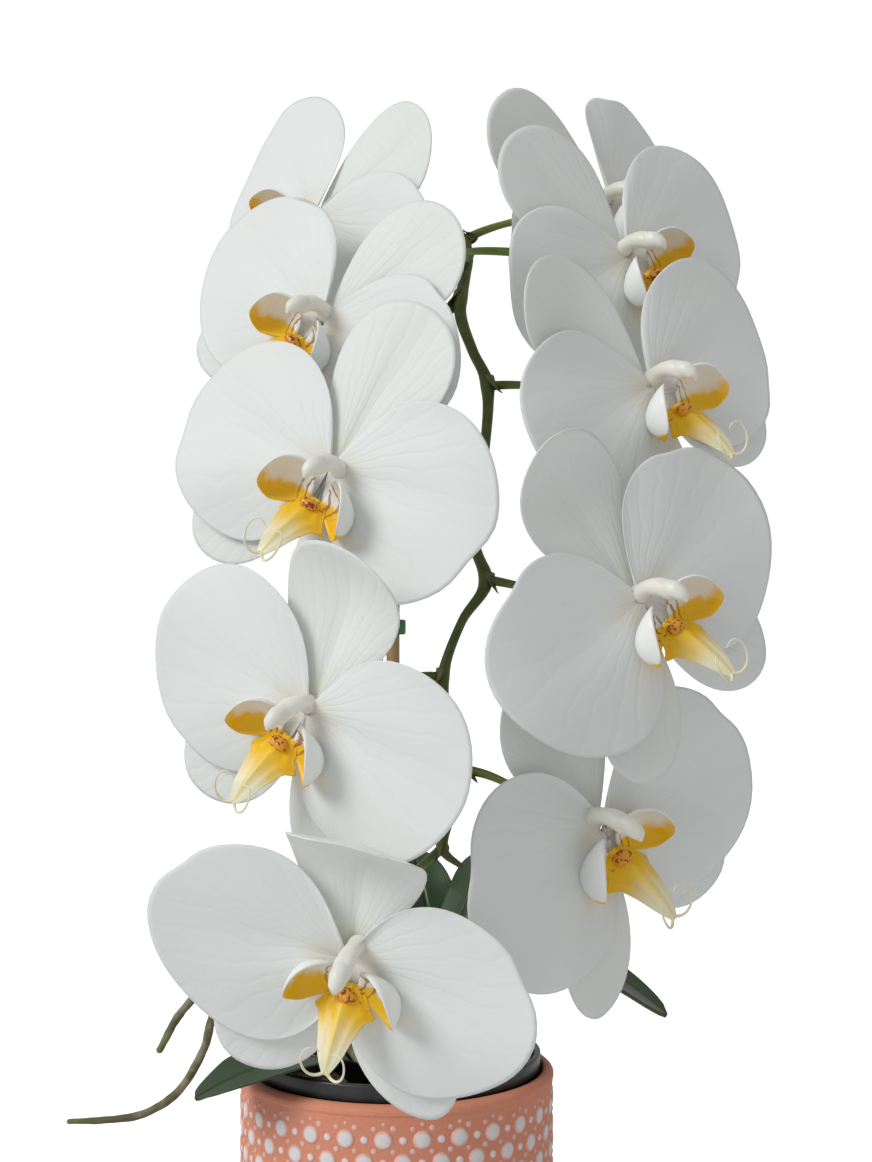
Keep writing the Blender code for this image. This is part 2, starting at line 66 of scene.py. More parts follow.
# Each flower: yaw and pitch of its face, its roll, its scale, lift and swing of the left petal and of the
# right petal, tilt, hood and hood start of the dorsal sepal, then how far its lip sits to the right and up
# and is turned.
FLOWERS = {
    "left_1": ((-38, 8), 52, 0.99, (-2, 8), (24, -6), (6, 20, 26), (0, 0, 0)),
    "left_2": ((-30, 9), 50, 1.00, (-12, -3), (22, -8), (8, 12, 26), (-1.0, 0.5, -12)),
    "left_3": ((-24, 7), 33, 1.03, (-8, -2), (14, -8), (-3, 8, 26), (2.9, -1.3, -2)),
    "left_4": ((-31, -6), 29, 1.03, (0, -8), (4, -8), (-6, 45, 24), (-1.0, -1.0, 4)),
    "left_5": ((-19, -19), 14, 1.09, (2, -14), (-4, -14), (0, 68, 21), (2.6, 2.4, 0)),
    "right_1": ((43, 6), -50, 1.02, (2, 2), (-12, 12), (-12, 0, 26), (0, 0, 0)),
    "right_2": ((35, 8), -43, 1.01, (14, -8), (-16, -4), (-8, 0, 26), (0, 0, 0)),
    "right_3": ((35, 10), -39, 1.03, (14, -9), (-8, -7), (-16, 22, 26), (1.7, -1.3, 11)),
    "right_4": ((33, 9), -34, 1.06, (4, -5), (5, -8), (2, 32, 26), (1.2, -1.4, -1)),
    "right_5": ((40, 0), -35, 1.13, (12, -12), (-15, -12), (4, 22, 26), (-2.3, 2.3, 4)),
}

# Flowers whose lips have another flower's petal close in front, so that their tendrils stay short.
CROWDED = ("left_1", "left_2", "right_1", "right_2")

# The stalk's node that each flower's own stem leaves, the way it sets out, and the way it comes in.
STEM_FROM = {
    "left_1": ((15, -30, 432), (-12, -8, 4), (0, 0, 0)),
    "left_2": ((23, -70, 400), (-8, -8, -11), (3, 0, -13)),
    "left_3": ((28, -101, 319), (-14, -6, 4), (0, 0, 0)),
    "left_4": ((18, -110, 272), (-12, -4, 3), (0, 0, 0)),
    "left_5": ((18, -114, 217), (-12, -6, -8), (0, 0, 0)),
    "right_1": ((25, -55, 424), (14, -4, 8), (0, 0, 0)),
    "right_2": ((26, -62, 416), (-5, -33, 0), (-28, -22, 3)),
    "right_3": ((33, -89, 369), (16, -6, 2), (0, 0, 0)),
    "right_4": ((32, -106, 304), (14, -6, -2), (0, 0, 0)),
    "right_5": ((25, -112, 242), (14, -6, 0), (0, 0, 0)),
}

# The stalk up beside the stake, over the arch and down in front, with its radius at each point.
STALK = [
    (-7.6, 17, 101.5, 2.6), (-7.6, 16, 140, 2.5), (-7.4, 15, 200, 2.4), (-7.4, 15, 286, 2.4),
    (-7.4, 14, 350, 2.3), (-6, 8, 400, 2.3), (0, -4, 422, 2.2), (8, -18, 431, 2.1),
    (15, -32, 432, 2.1), (25, -55, 424, 2.3), (26, -64, 412, 2.0), (24, -76, 396, 2.1),
    (28, -84, 382, 1.8), (33, -90, 369, 1.9), (32, -95, 348, 1.7), (28, -101, 319, 1.8),
    (32, -106, 303, 1.9), (24, -109, 290, 1.5), (18, -111, 272, 1.7), (21, -112, 255, 1.4),
    (25, -113, 242, 1.5), (21, -114, 228, 1.2), (18, -115, 217, 1.3), (24, -114, 211, 0.9),
]

# Each leaf: points along its midrib, the largest half width and how far its sides fold up.
LEAVES = {
    "leaf_left": (
        [(-12, -4, 112), (-24, -20, 125), (-38, -34, 129), (-55, -44, 126), (-71, -50, 119)], 20, 0.08
    ),
    "leaf_front": ([(5, -8, 106), (5, -20, 114), (5, -31, 122), (5, -40, 128), (5, -46, 131)], 11, 0.30),
    "leaf_right": ([(12, 2, 118), (28, 2, 142), (50, 1, 157), (76, 0, 154), (103, -2, 138)], 19, 0.34),
    "leaf_upright": ([(8, -3, 132), (15, -3, 150), (22, -2, 168), (28, 0, 184), (32, 2, 199)], 12, 0.55),
    "leaf_back": ([(14, 14, 116), (16, 22, 140), (14, 32, 162), (10, 42, 180), (6, 54, 193)], 13, 0.40),
}

# Aerial roots: points and radius.
ROOTS = {
    "aerial_root_1": [
        (-9, 10, 109, 2.2), (-30, 22, 134, 2.1), (-55, 26, 152, 2.0), (-72, 20, 152, 1.9),
        (-79, 14, 142, 1.8), (-86, 10, 133, 1.8), (-92, 8, 122, 1.5),
    ],
    "aerial_root_2": [
        (-14, 26, 103, 2.2), (-36, 32, 130, 2.1), (-56, 24, 141, 2.0), (-68, 12, 143, 2.0),
        (-72, 6, 134, 1.9), (-75, 4, 123, 1.8), (-84, 2, 108, 1.8), (-97, 0, 100, 1.7),
        (-112, -2, 98, 1.5), (-125, -4, 98, 1.1),
    ],
}


# ---- Shapes as arrays ----


def unit(v):
    return v / np.maximum(1e-9, np.linalg.norm(v, axis=-1, keepdims=True))


def grid_quads(rows, cols, closed=False):
    """Quads between neighbouring rows and columns; a closed grid joins its last column to its first."""
    r = np.arange(rows - 1)[:, None] * cols
    c = np.arange(cols if closed else cols - 1)[None, :]
    n = (c + 1) % cols
    return np.stack([r + c, r + n, r + cols + n, r + cols + c], axis=-1).reshape(-1, 4)


def outward(points, faces):
    """Turns the faces round if the volume they enclose, a sum of triple products of corners, is negative."""
    total = 0.0
    for block in faces:
        first = points[block[:, 0]]
        for k in range(1, block.shape[1] - 1):
            total += np.einsum("ij,ij->", first, np.cross(points[block[:, k]], points[block[:, k + 1]]))
    return [block[:, ::-1] for block in faces] if total < 0 else faces


def joined(parts):
    """Several (points, faces, grain) as one, each part's faces counted on from the points before it."""
    points, faces, grains, start = [], [], [], 0
    for p, blocks, grain in parts:
        faces += [block + start for block in blocks]
        points.append(p)
        grains.append(grain)
        start += len(p)
    return np.concatenate(points), faces, np.concatenate(grains)


def skinned(front, thick, across, along, toward=(0.0, 0.0, 1.0)):
    """A closed thin sheet: the grid, the same grid moved back along its normals by the thickness, and a strip
    round the border. Its normals are turned to the side that `toward` names."""
    rows, cols = front.shape[:2]
    normal = unit(np.cross(np.gradient(front, axis=1), np.gradient(front, axis=0)))
    normal *= 1.0 if (normal @ np.array(toward)).mean() > 0 else -1.0
    back = front - normal * (thick * np.ones((rows, cols)))[..., None]
    count = rows * cols
    at = np.arange(count).reshape(rows, cols)
    rim = np.concatenate([at[0], at[1:, -1], at[-1, -2::-1], at[-2:0:-1, 0]])
    following = np.roll(rim, -1)
    strip = np.stack([following, rim, rim + count, following + count], axis=1)
    quads = grid_quads(rows, cols)
    points = np.concatenate([front.reshape(-1, 3), back.reshape(-1, 3)])
    faces = outward(points, [np.concatenate([quads, quads[:, ::-1] + count, strip])])
    whole = np.ones((rows, cols))
    one = np.stack([across * whole, along * whole, whole], axis=-1)
    two = one * np.array([1.0, 1.0, 0.0])
    return points, faces, np.concatenate([one.reshape(-1, 3), two.reshape(-1, 3)])


def curve(points, steps):
    """A Bezier curve: the control points weighted by the terms of (t + (1 - t)) to their count less one."""
    p = np.asarray(points, float)
    t = np.linspace(0, 1, steps)[:, None]
    last = len(p) - 1
    return sum(math.comb(last, i) * t**i * (1 - t) ** (last - i) * p[i] for i in range(last + 1))


def smooth_path(points, steps):
    """A Catmull-Rom curve through the points, which may carry a radius as a fourth number."""
    p = np.asarray(points, float)
    p = np.concatenate([[2 * p[0] - p[1]], p, [2 * p[-1] - p[-2]]])
    a, b, c, d = p[:-3, None], p[1:-2, None], p[2:-1, None], p[3:, None]
    t = (np.arange(steps) / steps)[None, :, None]
    bent = 2 * b + (c - a) * t + (2 * a - 5 * b + 4 * c - d) * t**2 + (3 * b - a - 3 * c + d) * t**3
    return np.concatenate([0.5 * bent.reshape(-1, p.shape[1]), p[-2:-1]])


def tube(path, radii, sides, relief=None):
    """A closed bar along a path with half-round ends. Each ring lies across the path's tangent, and is turned
    from the one direction that the tangents lean on least. `relief` scales the radius at each station and
    side."""
    tangent = unit(np.gradient(path, axis=0))
    swing = np.linspace(0, math.pi / 2, 5)[1:-1]
    head = path[0] - tangent[0] * radii[0] * np.sin(swing[::-1])[:, None]
    tail = path[-1] + tangent[-1] * radii[-1] * np.sin(swing)[:, None]
    path = np.concatenate([head, path, tail])
    radii = np.concatenate([radii[0] * np.cos(swing[::-1]), radii, radii[-1] * np.cos(swing)])
    tangent = np.concatenate([np.repeat(tangent[:1], 3, 0), tangent, np.repeat(tangent[-1:], 3, 0)])
    aside = np.linalg.svd(tangent)[2][-1]
    out = unit(aside - tangent * (tangent @ aside)[:, None])
    over = np.cross(tangent, out)
    a = np.arange(sides) * 2 * math.pi / sides
    width = radii[:, None] * np.ones(sides)
    if relief is not None:
        width[3:-3] *= relief
    rings = path[:, None] + width[..., None] * (
        np.cos(a)[None, :, None] * out[:, None] + np.sin(a)[None, :, None] * over[:, None]
    )
    count = len(path)
    ends = [path[0] - tangent[0] * radii[0] * 0.4, path[-1] + tangent[-1] * radii[-1] * 0.4]
    points = np.concatenate([rings.reshape(-1, 3), ends])
    i = np.arange(sides)
    j = (i + 1) % sides
    low = np.stack([j, i, np.full(sides, count * sides)], axis=1)
    high = np.stack([i, j, np.full(sides, count * sides + 1)], axis=1)
    high[:, :2] += (count - 1) * sides
    faces = outward(points, [grid_quads(count, sides, closed=True), np.concatenate([low, high])])
    run = np.concatenate([[0], np.cumsum(np.linalg.norm(np.diff(path, axis=0), axis=1))])
    share = (run / run[-1])[:, None]
    grain = np.stack(np.broadcast_arrays(a[None, :] / math.tau, share, radii[:, None]), axis=-1)
    return points, faces, np.concatenate([grain.reshape(-1, 3), [[0, 0, radii[0]], [0, 1, radii[-1]]]])


def lathe(profile, segments):
    """A profile of (radius, height) turned about the Z axis. Its first and last points lie on the axis."""
    p = np.asarray(profile, float)
    a = np.arange(segments) * math.tau / segments
    ring = p[1:-1]
    x, y = ring[:, :1] * np.cos(a), ring[:, :1] * np.sin(a)
    points = np.stack(np.broadcast_arrays(x, y, ring[:, 1:]), axis=-1)
    points = np.concatenate([points.reshape(-1, 3), [[0, 0, p[0, 1]], [0, 0, p[-1, 1]]]])
    i = np.arange(segments)
    j = (i + 1) % segments
    count = len(ring) * segments
    first = np.stack([j, i, np.full(segments, count)], axis=1)
    last = np.stack([i, j, np.full(segments, count + 1)], axis=1)
    last[:, :2] += count - segments
    faces = outward(points, [grid_quads(len(ring), segments, closed=True), np.concatenate([first, last])])
    return points, faces, np.zeros_like(points)


def rounded(corners, size, steps=4):
    """A profile with each inner corner replaced by a short quadratic curve of about this size."""
    p = np.asarray(corners, float)
    t = np.linspace(0, 1, steps)[None, :, None]
    before, at, after = p[:-2, None], p[1:-1, None], p[2:, None]
    sides = np.minimum(np.linalg.norm(before - at, axis=-1), np.linalg.norm(after - at, axis=-1))
    reach = np.minimum(size, 0.45 * sides)
    start = at + unit(before - at) * reach[..., None]
    end = at + unit(after - at) * reach[..., None]
    bends = (1 - t) ** 2 * start + 2 * t * (1 - t) * at + t**2 * end
    return np.concatenate([p[:1], bends.reshape(-1, 2), p[-1:]])


# ---- Pieces and their places ----


def piece(name, shape, material, nodes=()):
    """A finished piece: its mesh in metres, its grain, its finish, and the CAD nodes that it stands for."""
    points, faces, grain = shape
    mesh = bpy.data.meshes.new(name)
    mesh.from_pydata((points * MM).tolist(), [], [face for block in faces for face in block.tolist()])
    mesh.polygons.foreach_set("use_smooth", np.ones(len(mesh.polygons), bool))
    layer = mesh.attributes.new("grain", "FLOAT_VECTOR", "POINT")
    layer.data.foreach_set("vector", grain.astype(np.float32).ravel())
    mesh.materials.append(material)
    made = bpy.data.objects.new(name, mesh)
    bpy.context.scene.collection.objects.link(made)
    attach(made, "root")
    if nodes:
        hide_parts(*nodes)
    return made


def node_box(node):
    """Lowest and highest corner of a CAD node in millimetres."""
    low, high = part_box(node)
    return np.array(low) / MM, np.array(high) / MM


def shift_to(node, points):
    """How far to move these points so that the middle of their box is the middle of the CAD node's."""
    low, high = node_box(node)
    return (low + high) / 2 - (points.min(axis=0) + points.max(axis=0)) / 2


def settled(node, shape):
    points, faces, grain = shape
    return points + shift_to(node, points), faces, grain


def face_axes(aim, roll):
    """Rows: the flower's own right, up and outward directions in the world."""
    yaw, pitch, roll = (math.radians(v) for v in (*aim, roll))
    out = np.array([math.sin(yaw) * math.cos(pitch), -math.cos(yaw) * math.cos(pitch), math.sin(pitch)])
    level = np.array([math.cos(yaw), math.sin(yaw), 0.0])
    rise = np.cross(out, level)
    right = level * math.cos(roll) - rise * math.sin(roll)
    return np.array([right, rise * math.cos(roll) + level * math.sin(roll), out])


# ---- Blossoms ----


def turn(x, y, angle):
    a = math.radians(angle)
    return x * math.cos(a) - y * math.sin(a), x * math.sin(a) + y * math.cos(a)


def lobe_radius(u, length, fullness, waist):
    """Reach of a rounded lobe at u from -1 to 1 across it: length times sqrt(1 - |u|^fullness)."""
    return np.maximum(waist, length * np.sqrt(np.maximum(0.0, 1.0 - np.abs(u) ** fullness)))


def face_field(x, y, left_swing, right_swing):
    """How far the flower's face falls back at x, y: two swept wings, curving back towards their rims."""
    swing = np.where(x < 0, left_swing, right_swing)
    side = np.sqrt(x * x + 16.0) - 4.0
    return -0.0022 * x * x - 0.0012 * y * y - side * np.tan(np.radians(swing))


def swell(x, y, phase):
    """Low waves over the whole face, three and seven to the turn, that grow away from the middle."""
    reach = np.hypot(x, y) / PETAL_LENGTH
    a = np.arctan2(y, x)
    return (0.9 * np.sin(3 * a + phase) + 0.55 * reach * np.sin(7 * a + 2.1 * phase)) * reach**1.5


def petal(side, left, right, phase):
    """One petal: a rounded lobe swept from the middle by its angle and its share of the reach, lifted, laid
    on the face's field, with a shallow channel along its middle and a rim that ripples."""
    lift, swing = right if side > 0 else left
    u = np.sin(np.linspace(-1, 1, 65) * math.pi / 2)[None, :]
    v = np.linspace(0.03, 1, 38)[:, None]
    reach = lobe_radius(u, PETAL_LENGTH, PETAL_FULLNESS, 3.6) * (0.988 + 0.014 * np.sin(7 * u + phase))
    reach = reach * (1 - 0.030 * np.exp(-(((u - 0.55 * math.sin(phase)) / 0.09) ** 2)))
    angle = np.radians(u * np.where(u > 0, PETAL_SPREAD_UP, PETAL_SPREAD_DOWN))
    x, y = v * reach * np.cos(angle) * math.cos(math.radians(swing) * 0.9), v * reach * np.sin(angle)
    x, y = turn(x, y, lift)
    x = side * x
    z = 1.0 + face_field(x, y, left[1], right[1]) + swell(x, y, phase)
    z -= 1.1 * np.exp(-((u / 0.20) ** 2)) * np.sin(math.pi * v**0.8)
    z += 0.7 * v**2 * np.sin(4.2 * u + 2.3 * phase) * np.sin(math.pi * v)
    z += 0.5 * v**3 * np.cos(11 * u + phase)
    z += 1.1 * v**5 * np.sin(6.5 * u + 3 * phase)
    return skinned(np.stack([x, y, z], axis=-1), 0.6 - 0.32 * v**2, u, v)


def hooded(y, z, hood, start):
    """Bends what lies above the start forward through an arc of this many degrees."""
    if not hood:
        return y, z
    k = math.radians(hood) / HOOD_OVER
    past = np.maximum(0.0, y - start)
    arc = np.minimum(past, HOOD_OVER)
    rest = past - arc
    rise = np.sin(k * arc) / k + rest * np.cos(k * arc)
    fore = (1 - np.cos(k * arc)) / k + rest * np.sin(k * arc)
    return np.where(y > start, start + rise, y), z + fore


def sepal(axis, length, spread, left, right, dorsal, phase):
    """One sepal: a narrower lobe behind the petals with a crease along its middle and its margins rolled
    back. The dorsal one is tilted, and its top may bend forward as a hood."""
    tilt, hood, start = dorsal
    u = 0.985 * np.sin(np.linspace(-1, 1, 41) * math.pi / 2)[None, :]
    v = np.linspace(0.04, 1, 30)[:, None]
    fullness = DORSAL_FULLNESS if axis == 90.0 else LATERAL_FULLNESS
    reach = v * lobe_radius(u, length, fullness, 5.0)
    a = np.radians(axis + u * spread)
    x, y = reach * np.cos(a), reach * np.sin(a)
    across, rise = turn(x, y, -tilt)
    z = -1.4 + face_field(across, rise, left[1], right[1]) - 0.02 * reach + swell(across, rise, phase)
    z -= 0.7 * np.exp(-((u / 0.16) ** 2)) * np.sin(math.pi * v**0.8) + 1.3 * v**3 * u**4
    y, z = hooded(y, z, hood, start)
    x, y = turn(x, y, -tilt)
    return skinned(np.stack([x, y, z], axis=-1), 0.65 - 0.3 * v**2, u, v)


def side_lobe(side):
    """A side lobe of the lip: a sheet ruled from its lower margin to its upper one, its outer end rounded by
    narrowing the ruling on an ellipse, and cupped towards the column by a parabola across."""
    s = np.linspace(0, 1, 30)
    lower = curve([(2.2, -9.4, 3.6), (7.5, -12.4, 3.6), (11.5, -15.4, 5.6), (15.2, -15.2, 8.6)], 30)
    upper = curve([(2.8, -4.2, 4.2), (3.2, 2.2, 9.5), (11.5, 2.4, 14.0), (15.4, -8.8, 14.6)], 30)
    t = np.linspace(-1, 1, 27)
    narrow = np.sqrt(1 - 0.94 * np.clip((s - 0.70) / 0.30, 0, 1) ** 2)
    share = 0.5 + 0.5 * t[None, :] * narrow[:, None]
    front = lower[:, None] + (upper - lower)[:, None] * share[..., None]
    cup = 6.8 * (1 - t[None, :] ** 2) ** 0.8 * np.sin(math.pi * s[:, None] ** 0.85)
    front = front + cup[..., None] * np.array([0.72, -0.05, -0.65])
    front = front * np.array([side, 1.0, 1.0])
    return skinned(front, 0.75 - 0.45 * s[:, None] ** 2, t[None, :], s[:, None], (-0.6 * side, 0.1, 0.75))


def tongue():
    """The lip's middle lobe: an arrowhead whose half width swells to two shoulders and narrows to a point,
    bent back towards its margins by the square of the distance across, with a keel along its middle."""
    s = np.linspace(0, 1, 44)
    t = np.linspace(-1, 1, 33)[None, :]
    middle = curve([(0, -7.6, 2.8), (0, -13.0, 8.2), (0, -20.5, 14.6), (0, -28.8, 16.0)], 44)
    width = np.interp(s, [0, 0.12, 0.28, 0.42, 0.6, 0.78, 0.92, 1], [3.0, 5.6, 7.4, 6.2, 4.8, 3.6, 2.0, 0.7])
    width = np.convolve(np.pad(width, 2, mode="edge"), np.ones(5) / 5, "valid")
    width = width + 1.5 * np.exp(-(((s - 0.30) / 0.05) ** 2))
    across = t * width[:, None]
    rise = unit(np.cross(np.gradient(middle, axis=0), np.array([1.0, 0.0, 0.0])))
    rise *= np.sign(rise[:, 2:3])
    lift = 0.9 * np.exp(-((t / 0.16) ** 2)) * np.sin(math.pi * s[:, None] ** 0.7) - 0.055 * across**2
    lift = lift - 0.35 * np.cos(t * 15) * (1 - s[:, None]) * 0.5
    front = middle[:, None] + across[..., None] * np.array([1.0, 0, 0]) + lift[..., None] * rise[:, None]
    return skinned(front, 0.9 - 0.5 * np.abs(t) ** 2, t, s[:, None])


def tendril(side, share):
    """A thin curl from the tongue's point, out, up and back in. A share below 1 draws it to the point."""
    bends = [
        (0.4, -28.0, 15.7), (3.4, -31.4, 17.0), (8.6, -27.0, 20.5), (6.8, -16.0, 20.0), (1.8, -20.5, 17.8),
    ]
    path = curve(bends, 40)
    path = path[0] + share * (path - path[0])
    return tube(path * np.array([side, 1.0, 1.0]), np.linspace(0.48, 0.16, 40), 10)


def callus():
    """The two-toothed bump between the side lobes: a squashed ball with a cleft in front."""
    a = np.linspace(0, math.tau, 28, endpoint=False)[None, :]
    b = np.linspace(-1.5, 1.5, 17)[:, None]
    size = 1 + 0.16 * np.cos(2 * a) + 0.10 * np.cos(5 * a) * np.cos(b)
    x = 2.5 * size * np.cos(b) * np.cos(a)
    y = -10.0 + 2.1 * size * np.cos(b) * np.sin(a)
    z = 5.4 + 2.6 * np.sin(b) + 0.5 * np.abs(np.cos(a)) * np.cos(b)
    points = np.stack(np.broadcast_arrays(x, y, z), axis=-1).reshape(-1, 3)
    ends = np.array([[0, -10.0, 2.8], [0, -10.0, 8.0]])
    i = np.arange(28)
    j = (i + 1) % 28
    low = np.stack([j, i, np.full(28, 17 * 28)], axis=1)
    high = np.stack([i + 16 * 28, j + 16 * 28, np.full(28, 17 * 28 + 1)], axis=1)
    points = np.concatenate([points, ends])
    faces = outward(points, [grid_quads(17, 28, closed=True), np.concatenate([low, high])])
    return points, faces, np.zeros_like(points)


def column():
    """The column: a bar that swells towards its hooded end and is hollowed underneath."""
    path = smooth_path(COLUMN_PATH, 8)
    stations = len(path)
    a = np.arange(32) * math.tau / 32
    s = np.linspace(0, 1, stations)[:, None]
    relief = 1 - 0.16 * np.exp(-(((np.angle(np.exp(1j * (a[None, :] - math.pi / 2)))) / 0.6) ** 2)) * s
    return tube(path[:, :3], path[:, 3], 32, relief)


def anther():
    """The cap on the column's end, a small dome that ends in a beak."""
    path = curve([(0, 2.2, 12.2), (0, 1.6, 15.0), (0, -0.6, 16.6), (0, -2.4, 16.2)], 16)
    return tube(path, np.interp(np.linspace(0, 1, 16), [0, 0.35, 0.75, 1], [2.5, 2.6, 2.0, 0.8]), 28)


def placed(shape, centre, aim, roll, scale):
    points, faces, grain = shape
    return centre + (points * scale) @ face_axes(aim, roll), faces, grain


def build_flower(name, number, finishes):
    """Petals, sepals, lip and column of one flower, round the centre that its CAD petals give."""
    aim, roll, scale, left, right, dorsal, (sideways, upward, twist) = FLOWERS[name]
    phase = 1.7 * number
    wings = [petal(-1, left, right, phase), petal(1, left, right, phase)]
    origin = np.zeros(3)
    turned = joined([placed(wing, origin, aim, roll, scale) for wing in wings])
    centre = shift_to(f"flower_{name}_petals", turned[0])
    own = f"flower_{name}_"
    for side, wing in zip(("left", "right"), wings):
        shape = placed(wing, centre, aim, roll, scale)
        piece(f"{own}petal_{side}", shape, finishes["petal"], [own + "petals"])
    sepals = {
        "dorsal": (90.0, DORSAL_LENGTH, DORSAL_SPREAD, left, right, dorsal, phase),
        "left": (270.0 - LATERAL_ANGLE, LATERAL_LENGTH, LATERAL_SPREAD, left, right, (0, 0, 0), phase),
        "right": (270.0 + LATERAL_ANGLE, LATERAL_LENGTH, LATERAL_SPREAD, left, right, (0, 0, 0), phase),
    }
    for which, values in sepals.items():
        shape = placed(sepal(*values), centre, aim, roll, scale)
        piece(f"{own}sepal_{which}", shape, finishes["sepal"], [own + "sepals"])
    heart = centre + (np.array([sideways, upward, 0.0]) * scale) @ face_axes(aim, roll)
    share = 0.3 if name in CROWDED else 1.0
    lip = {
        "lip_side_left": (side_lobe(-1), "lobe"),
        "lip_side_right": (side_lobe(1), "lobe"),
        "lip_tongue": (tongue(), "tongue"),
        "lip_callus": (callus(), "callus"),
        "lip_tendrils": (joined([tendril(-1, share), tendril(1, share)]), "tendril"),
    }
    for part, (shape, kind) in lip.items():
        shape = placed(shape, heart, aim, roll + twist, scale)
        piece(own + part, shape, finishes[kind], [own + "lip"])
    for part, shape in (("column_body", column()), ("column_cap", anther())):
        shape = placed(shape, heart, aim, roll + twist, scale)
        piece(own + part, shape, finishes["column"], [own + "column"])
    return centre


# ---- Stalk, leaves, roots ----


def stem(name, centre):
    """A flower's own stem: a Bezier curve from the stalk's node to the flower's back, thin in its middle and
    swelling into the three-grooved ovary."""
    aim, roll = FLOWERS[name][:2]
    start, way, come = (np.array(v, float) for v in STEM_FROM[name])
    out = face_axes(aim, roll)[2]
    end = centre - out * STEM_END_BEHIND
    path = curve([start, start + way, end - out * 18.0 + come, end], 48)
    s = np.linspace(0, 1, 48)
    radii = np.interp(s, [0, 0.06, 0.3, 0.7, 1], [2.1, 1.55, 1.25, 1.5, 2.2])
    a = np.arange(18) * math.tau / 18
    grooves = 1 + 0.07 * np.cos(3 * a)[None, :] * np.clip((s - 0.55) / 0.2, 0, 1)[:, None]
    return tube(path, radii, 18, grooves)


def bract(at, way, along, radius):
    """The small scale leaf that clasps the stalk under a stem: a curved triangle wrapped round the stalk."""
    along = unit(along)
    side = unit(way - along * (way @ along))
    other = np.cross(along, side)
    v = np.linspace(0, 1, 12)[:, None]
    u = np.linspace(-1, 1, 15)[None, :]
    a = u * 1.5 * (1 - v**1.4)
    r = radius + 0.35 + 2.4 * v**2
    ring = np.cos(a)[..., None] * side + np.sin(a)[..., None] * other
    front = at - along * 3.2 + (v * 7.2)[..., None] * along + r[..., None] * ring
    return skinned(front, 0.45 - 0.2 * v, u, v, side)


def build_spike(centres, finish):
    path = smooth_path(STALK, 7)
    nodes = np.array([STEM_FROM[name][0] for name in FLOWERS], float)
    near = np.linalg.norm(path[:, None, :3] - nodes[None], axis=-1).min(axis=1)
    rings = np.array([[-7.4, 15, 165], [-7.4, 15, 238], [-7.4, 14.6, 330]])
    near = np.minimum(near, np.linalg.norm(path[:, None, :3] - rings[None], axis=-1).min(axis=1))
    radii = path[:, 3] * (1 + 0.28 * np.exp(-((near / 4.0) ** 2)))
    stalk = tube(path[:, :3], radii, 20)
    stems = {name: stem(name, centres[name]) for name in FLOWERS}
    move = shift_to("flower_spike", np.concatenate([stalk[0], *[s[0] for s in stems.values()]]))
    piece("stalk", (stalk[0] + move, *stalk[1:]), finish["stalk"], ["flower_spike"])
    for name, (points, faces, grain) in stems.items():
        piece(f"stem_{name}", (points + move, faces, grain), finish["stem"], ["flower_spike"])
    tangent = np.gradient(path[:, :3], axis=0)
    scales = []
    for at, (_, way, _) in zip(nodes, STEM_FROM.values()):
        k = np.linalg.norm(path[:, :3] - at, axis=1).argmin()
        scales.append(bract(path[k, :3], np.array(way, float), tangent[k], radii[k]))
    for at in rings:
        k = np.linalg.norm(path[:, :3] - at, axis=1).argmin()
        scales.append(bract(path[k, :3], np.array([-1.0, 0.3, 0.0]), tangent[k], radii[k]))
    points, faces, grain = joined(scales)
    piece("stalk_bracts", (points + move, faces, grain), finish["bract"], ["flower_spike"])


def build_leaf(name, midrib, half_width, fold, finish):
    """A strap leaf: its sides rise from the midrib by the 1.5th power of the distance across, with a groove
    along the midrib, a keel under it, and a rounded end."""
    path = smooth_path(midrib, 12)
    s = np.linspace(0, 1, len(path))
    width = half_width * (0.34 + 0.66 * np.sin(np.clip(s * 1.25, 0, 1) * math.pi / 2))
    width = np.maximum(half_width * 0.02, width * np.sqrt(np.clip(1 - s**4, 0, 1)))
    along = unit(np.gradient(path, axis=0))
    side = unit(np.cross(along, np.array([0.0, 0.0, 1.0])))
    up = np.cross(side, along)
    c = np.linspace(-1, 1, 41)[None, :]
    lift = np.abs(c) ** 1.5 * width[:, None] * fold - 0.9 * np.exp(-((c / 0.06) ** 2))
    lift = lift + 0.35 * np.sin(9 * s[:, None] + 2 * c) * np.abs(c) ** 2
    front = path[:, None] + (c * width[:, None])[..., None] * side[:, None] + lift[..., None] * up[:, None]
    thick = 1.9 - 1.3 * c**2 + 0.7 * np.exp(-((c / 0.09) ** 2))
    thick = thick * (0.2 + 0.8 * np.sqrt(np.clip(1 - s[:, None] ** 4, 0, 1)))
    toward = up.mean(axis=0)
    shape = skinned(front, np.broadcast_to(thick, front.shape[:2]), c, s[:, None], toward)
    piece(name + "_blade", settled(name, shape), finish, [name])


def build_root(name, points, finish):
    """A root: a tube whose skin swells and pinches a little along its length."""
    path = smooth_path(points, 12)
    run = np.linspace(0, 1, len(path))[:, None]
    a = np.arange(16)[None, :] * math.tau / 16
    knots = 1 + 0.05 * np.sin(60 * run + 2 * a) + 0.05 * np.sin(23 * run + a)
    knots += 0.03 * np.sin(131 * run - 3 * a)
    shape = tube(path[:, :3], path[:, 3] * 0.9, 16, knots)
    piece(name + "_skin", settled(name, shape), finish, [name])


def build_crown(finish):
    """The short stem, ridged where the old leaf bases clasp it."""
    rings = [
        (0, 3, 104, 6), (0, 3, 108, 7.4), (0, 3, 113, 7.2),
        (1, 3, 121, 6.2), (1, 3, 128, 4.6), (1, 3, 132, 2.6),
    ]
    path = smooth_path(rings, 8)
    s = np.linspace(0, 1, len(path))[:, None]
    a = np.arange(36)[None, :] * math.tau / 36
    wave = np.sin(26 * s + a)
    ridges = 1 + 0.09 * np.cos(2 * a + 1) + 0.05 * np.sign(wave) * np.abs(wave) ** 0.4
    shape = settled("plant_crown", tube(path[:, :3], path[:, 3], 36, ridges))
    piece("crown_stem", shape, finish, ["plant_crown"])


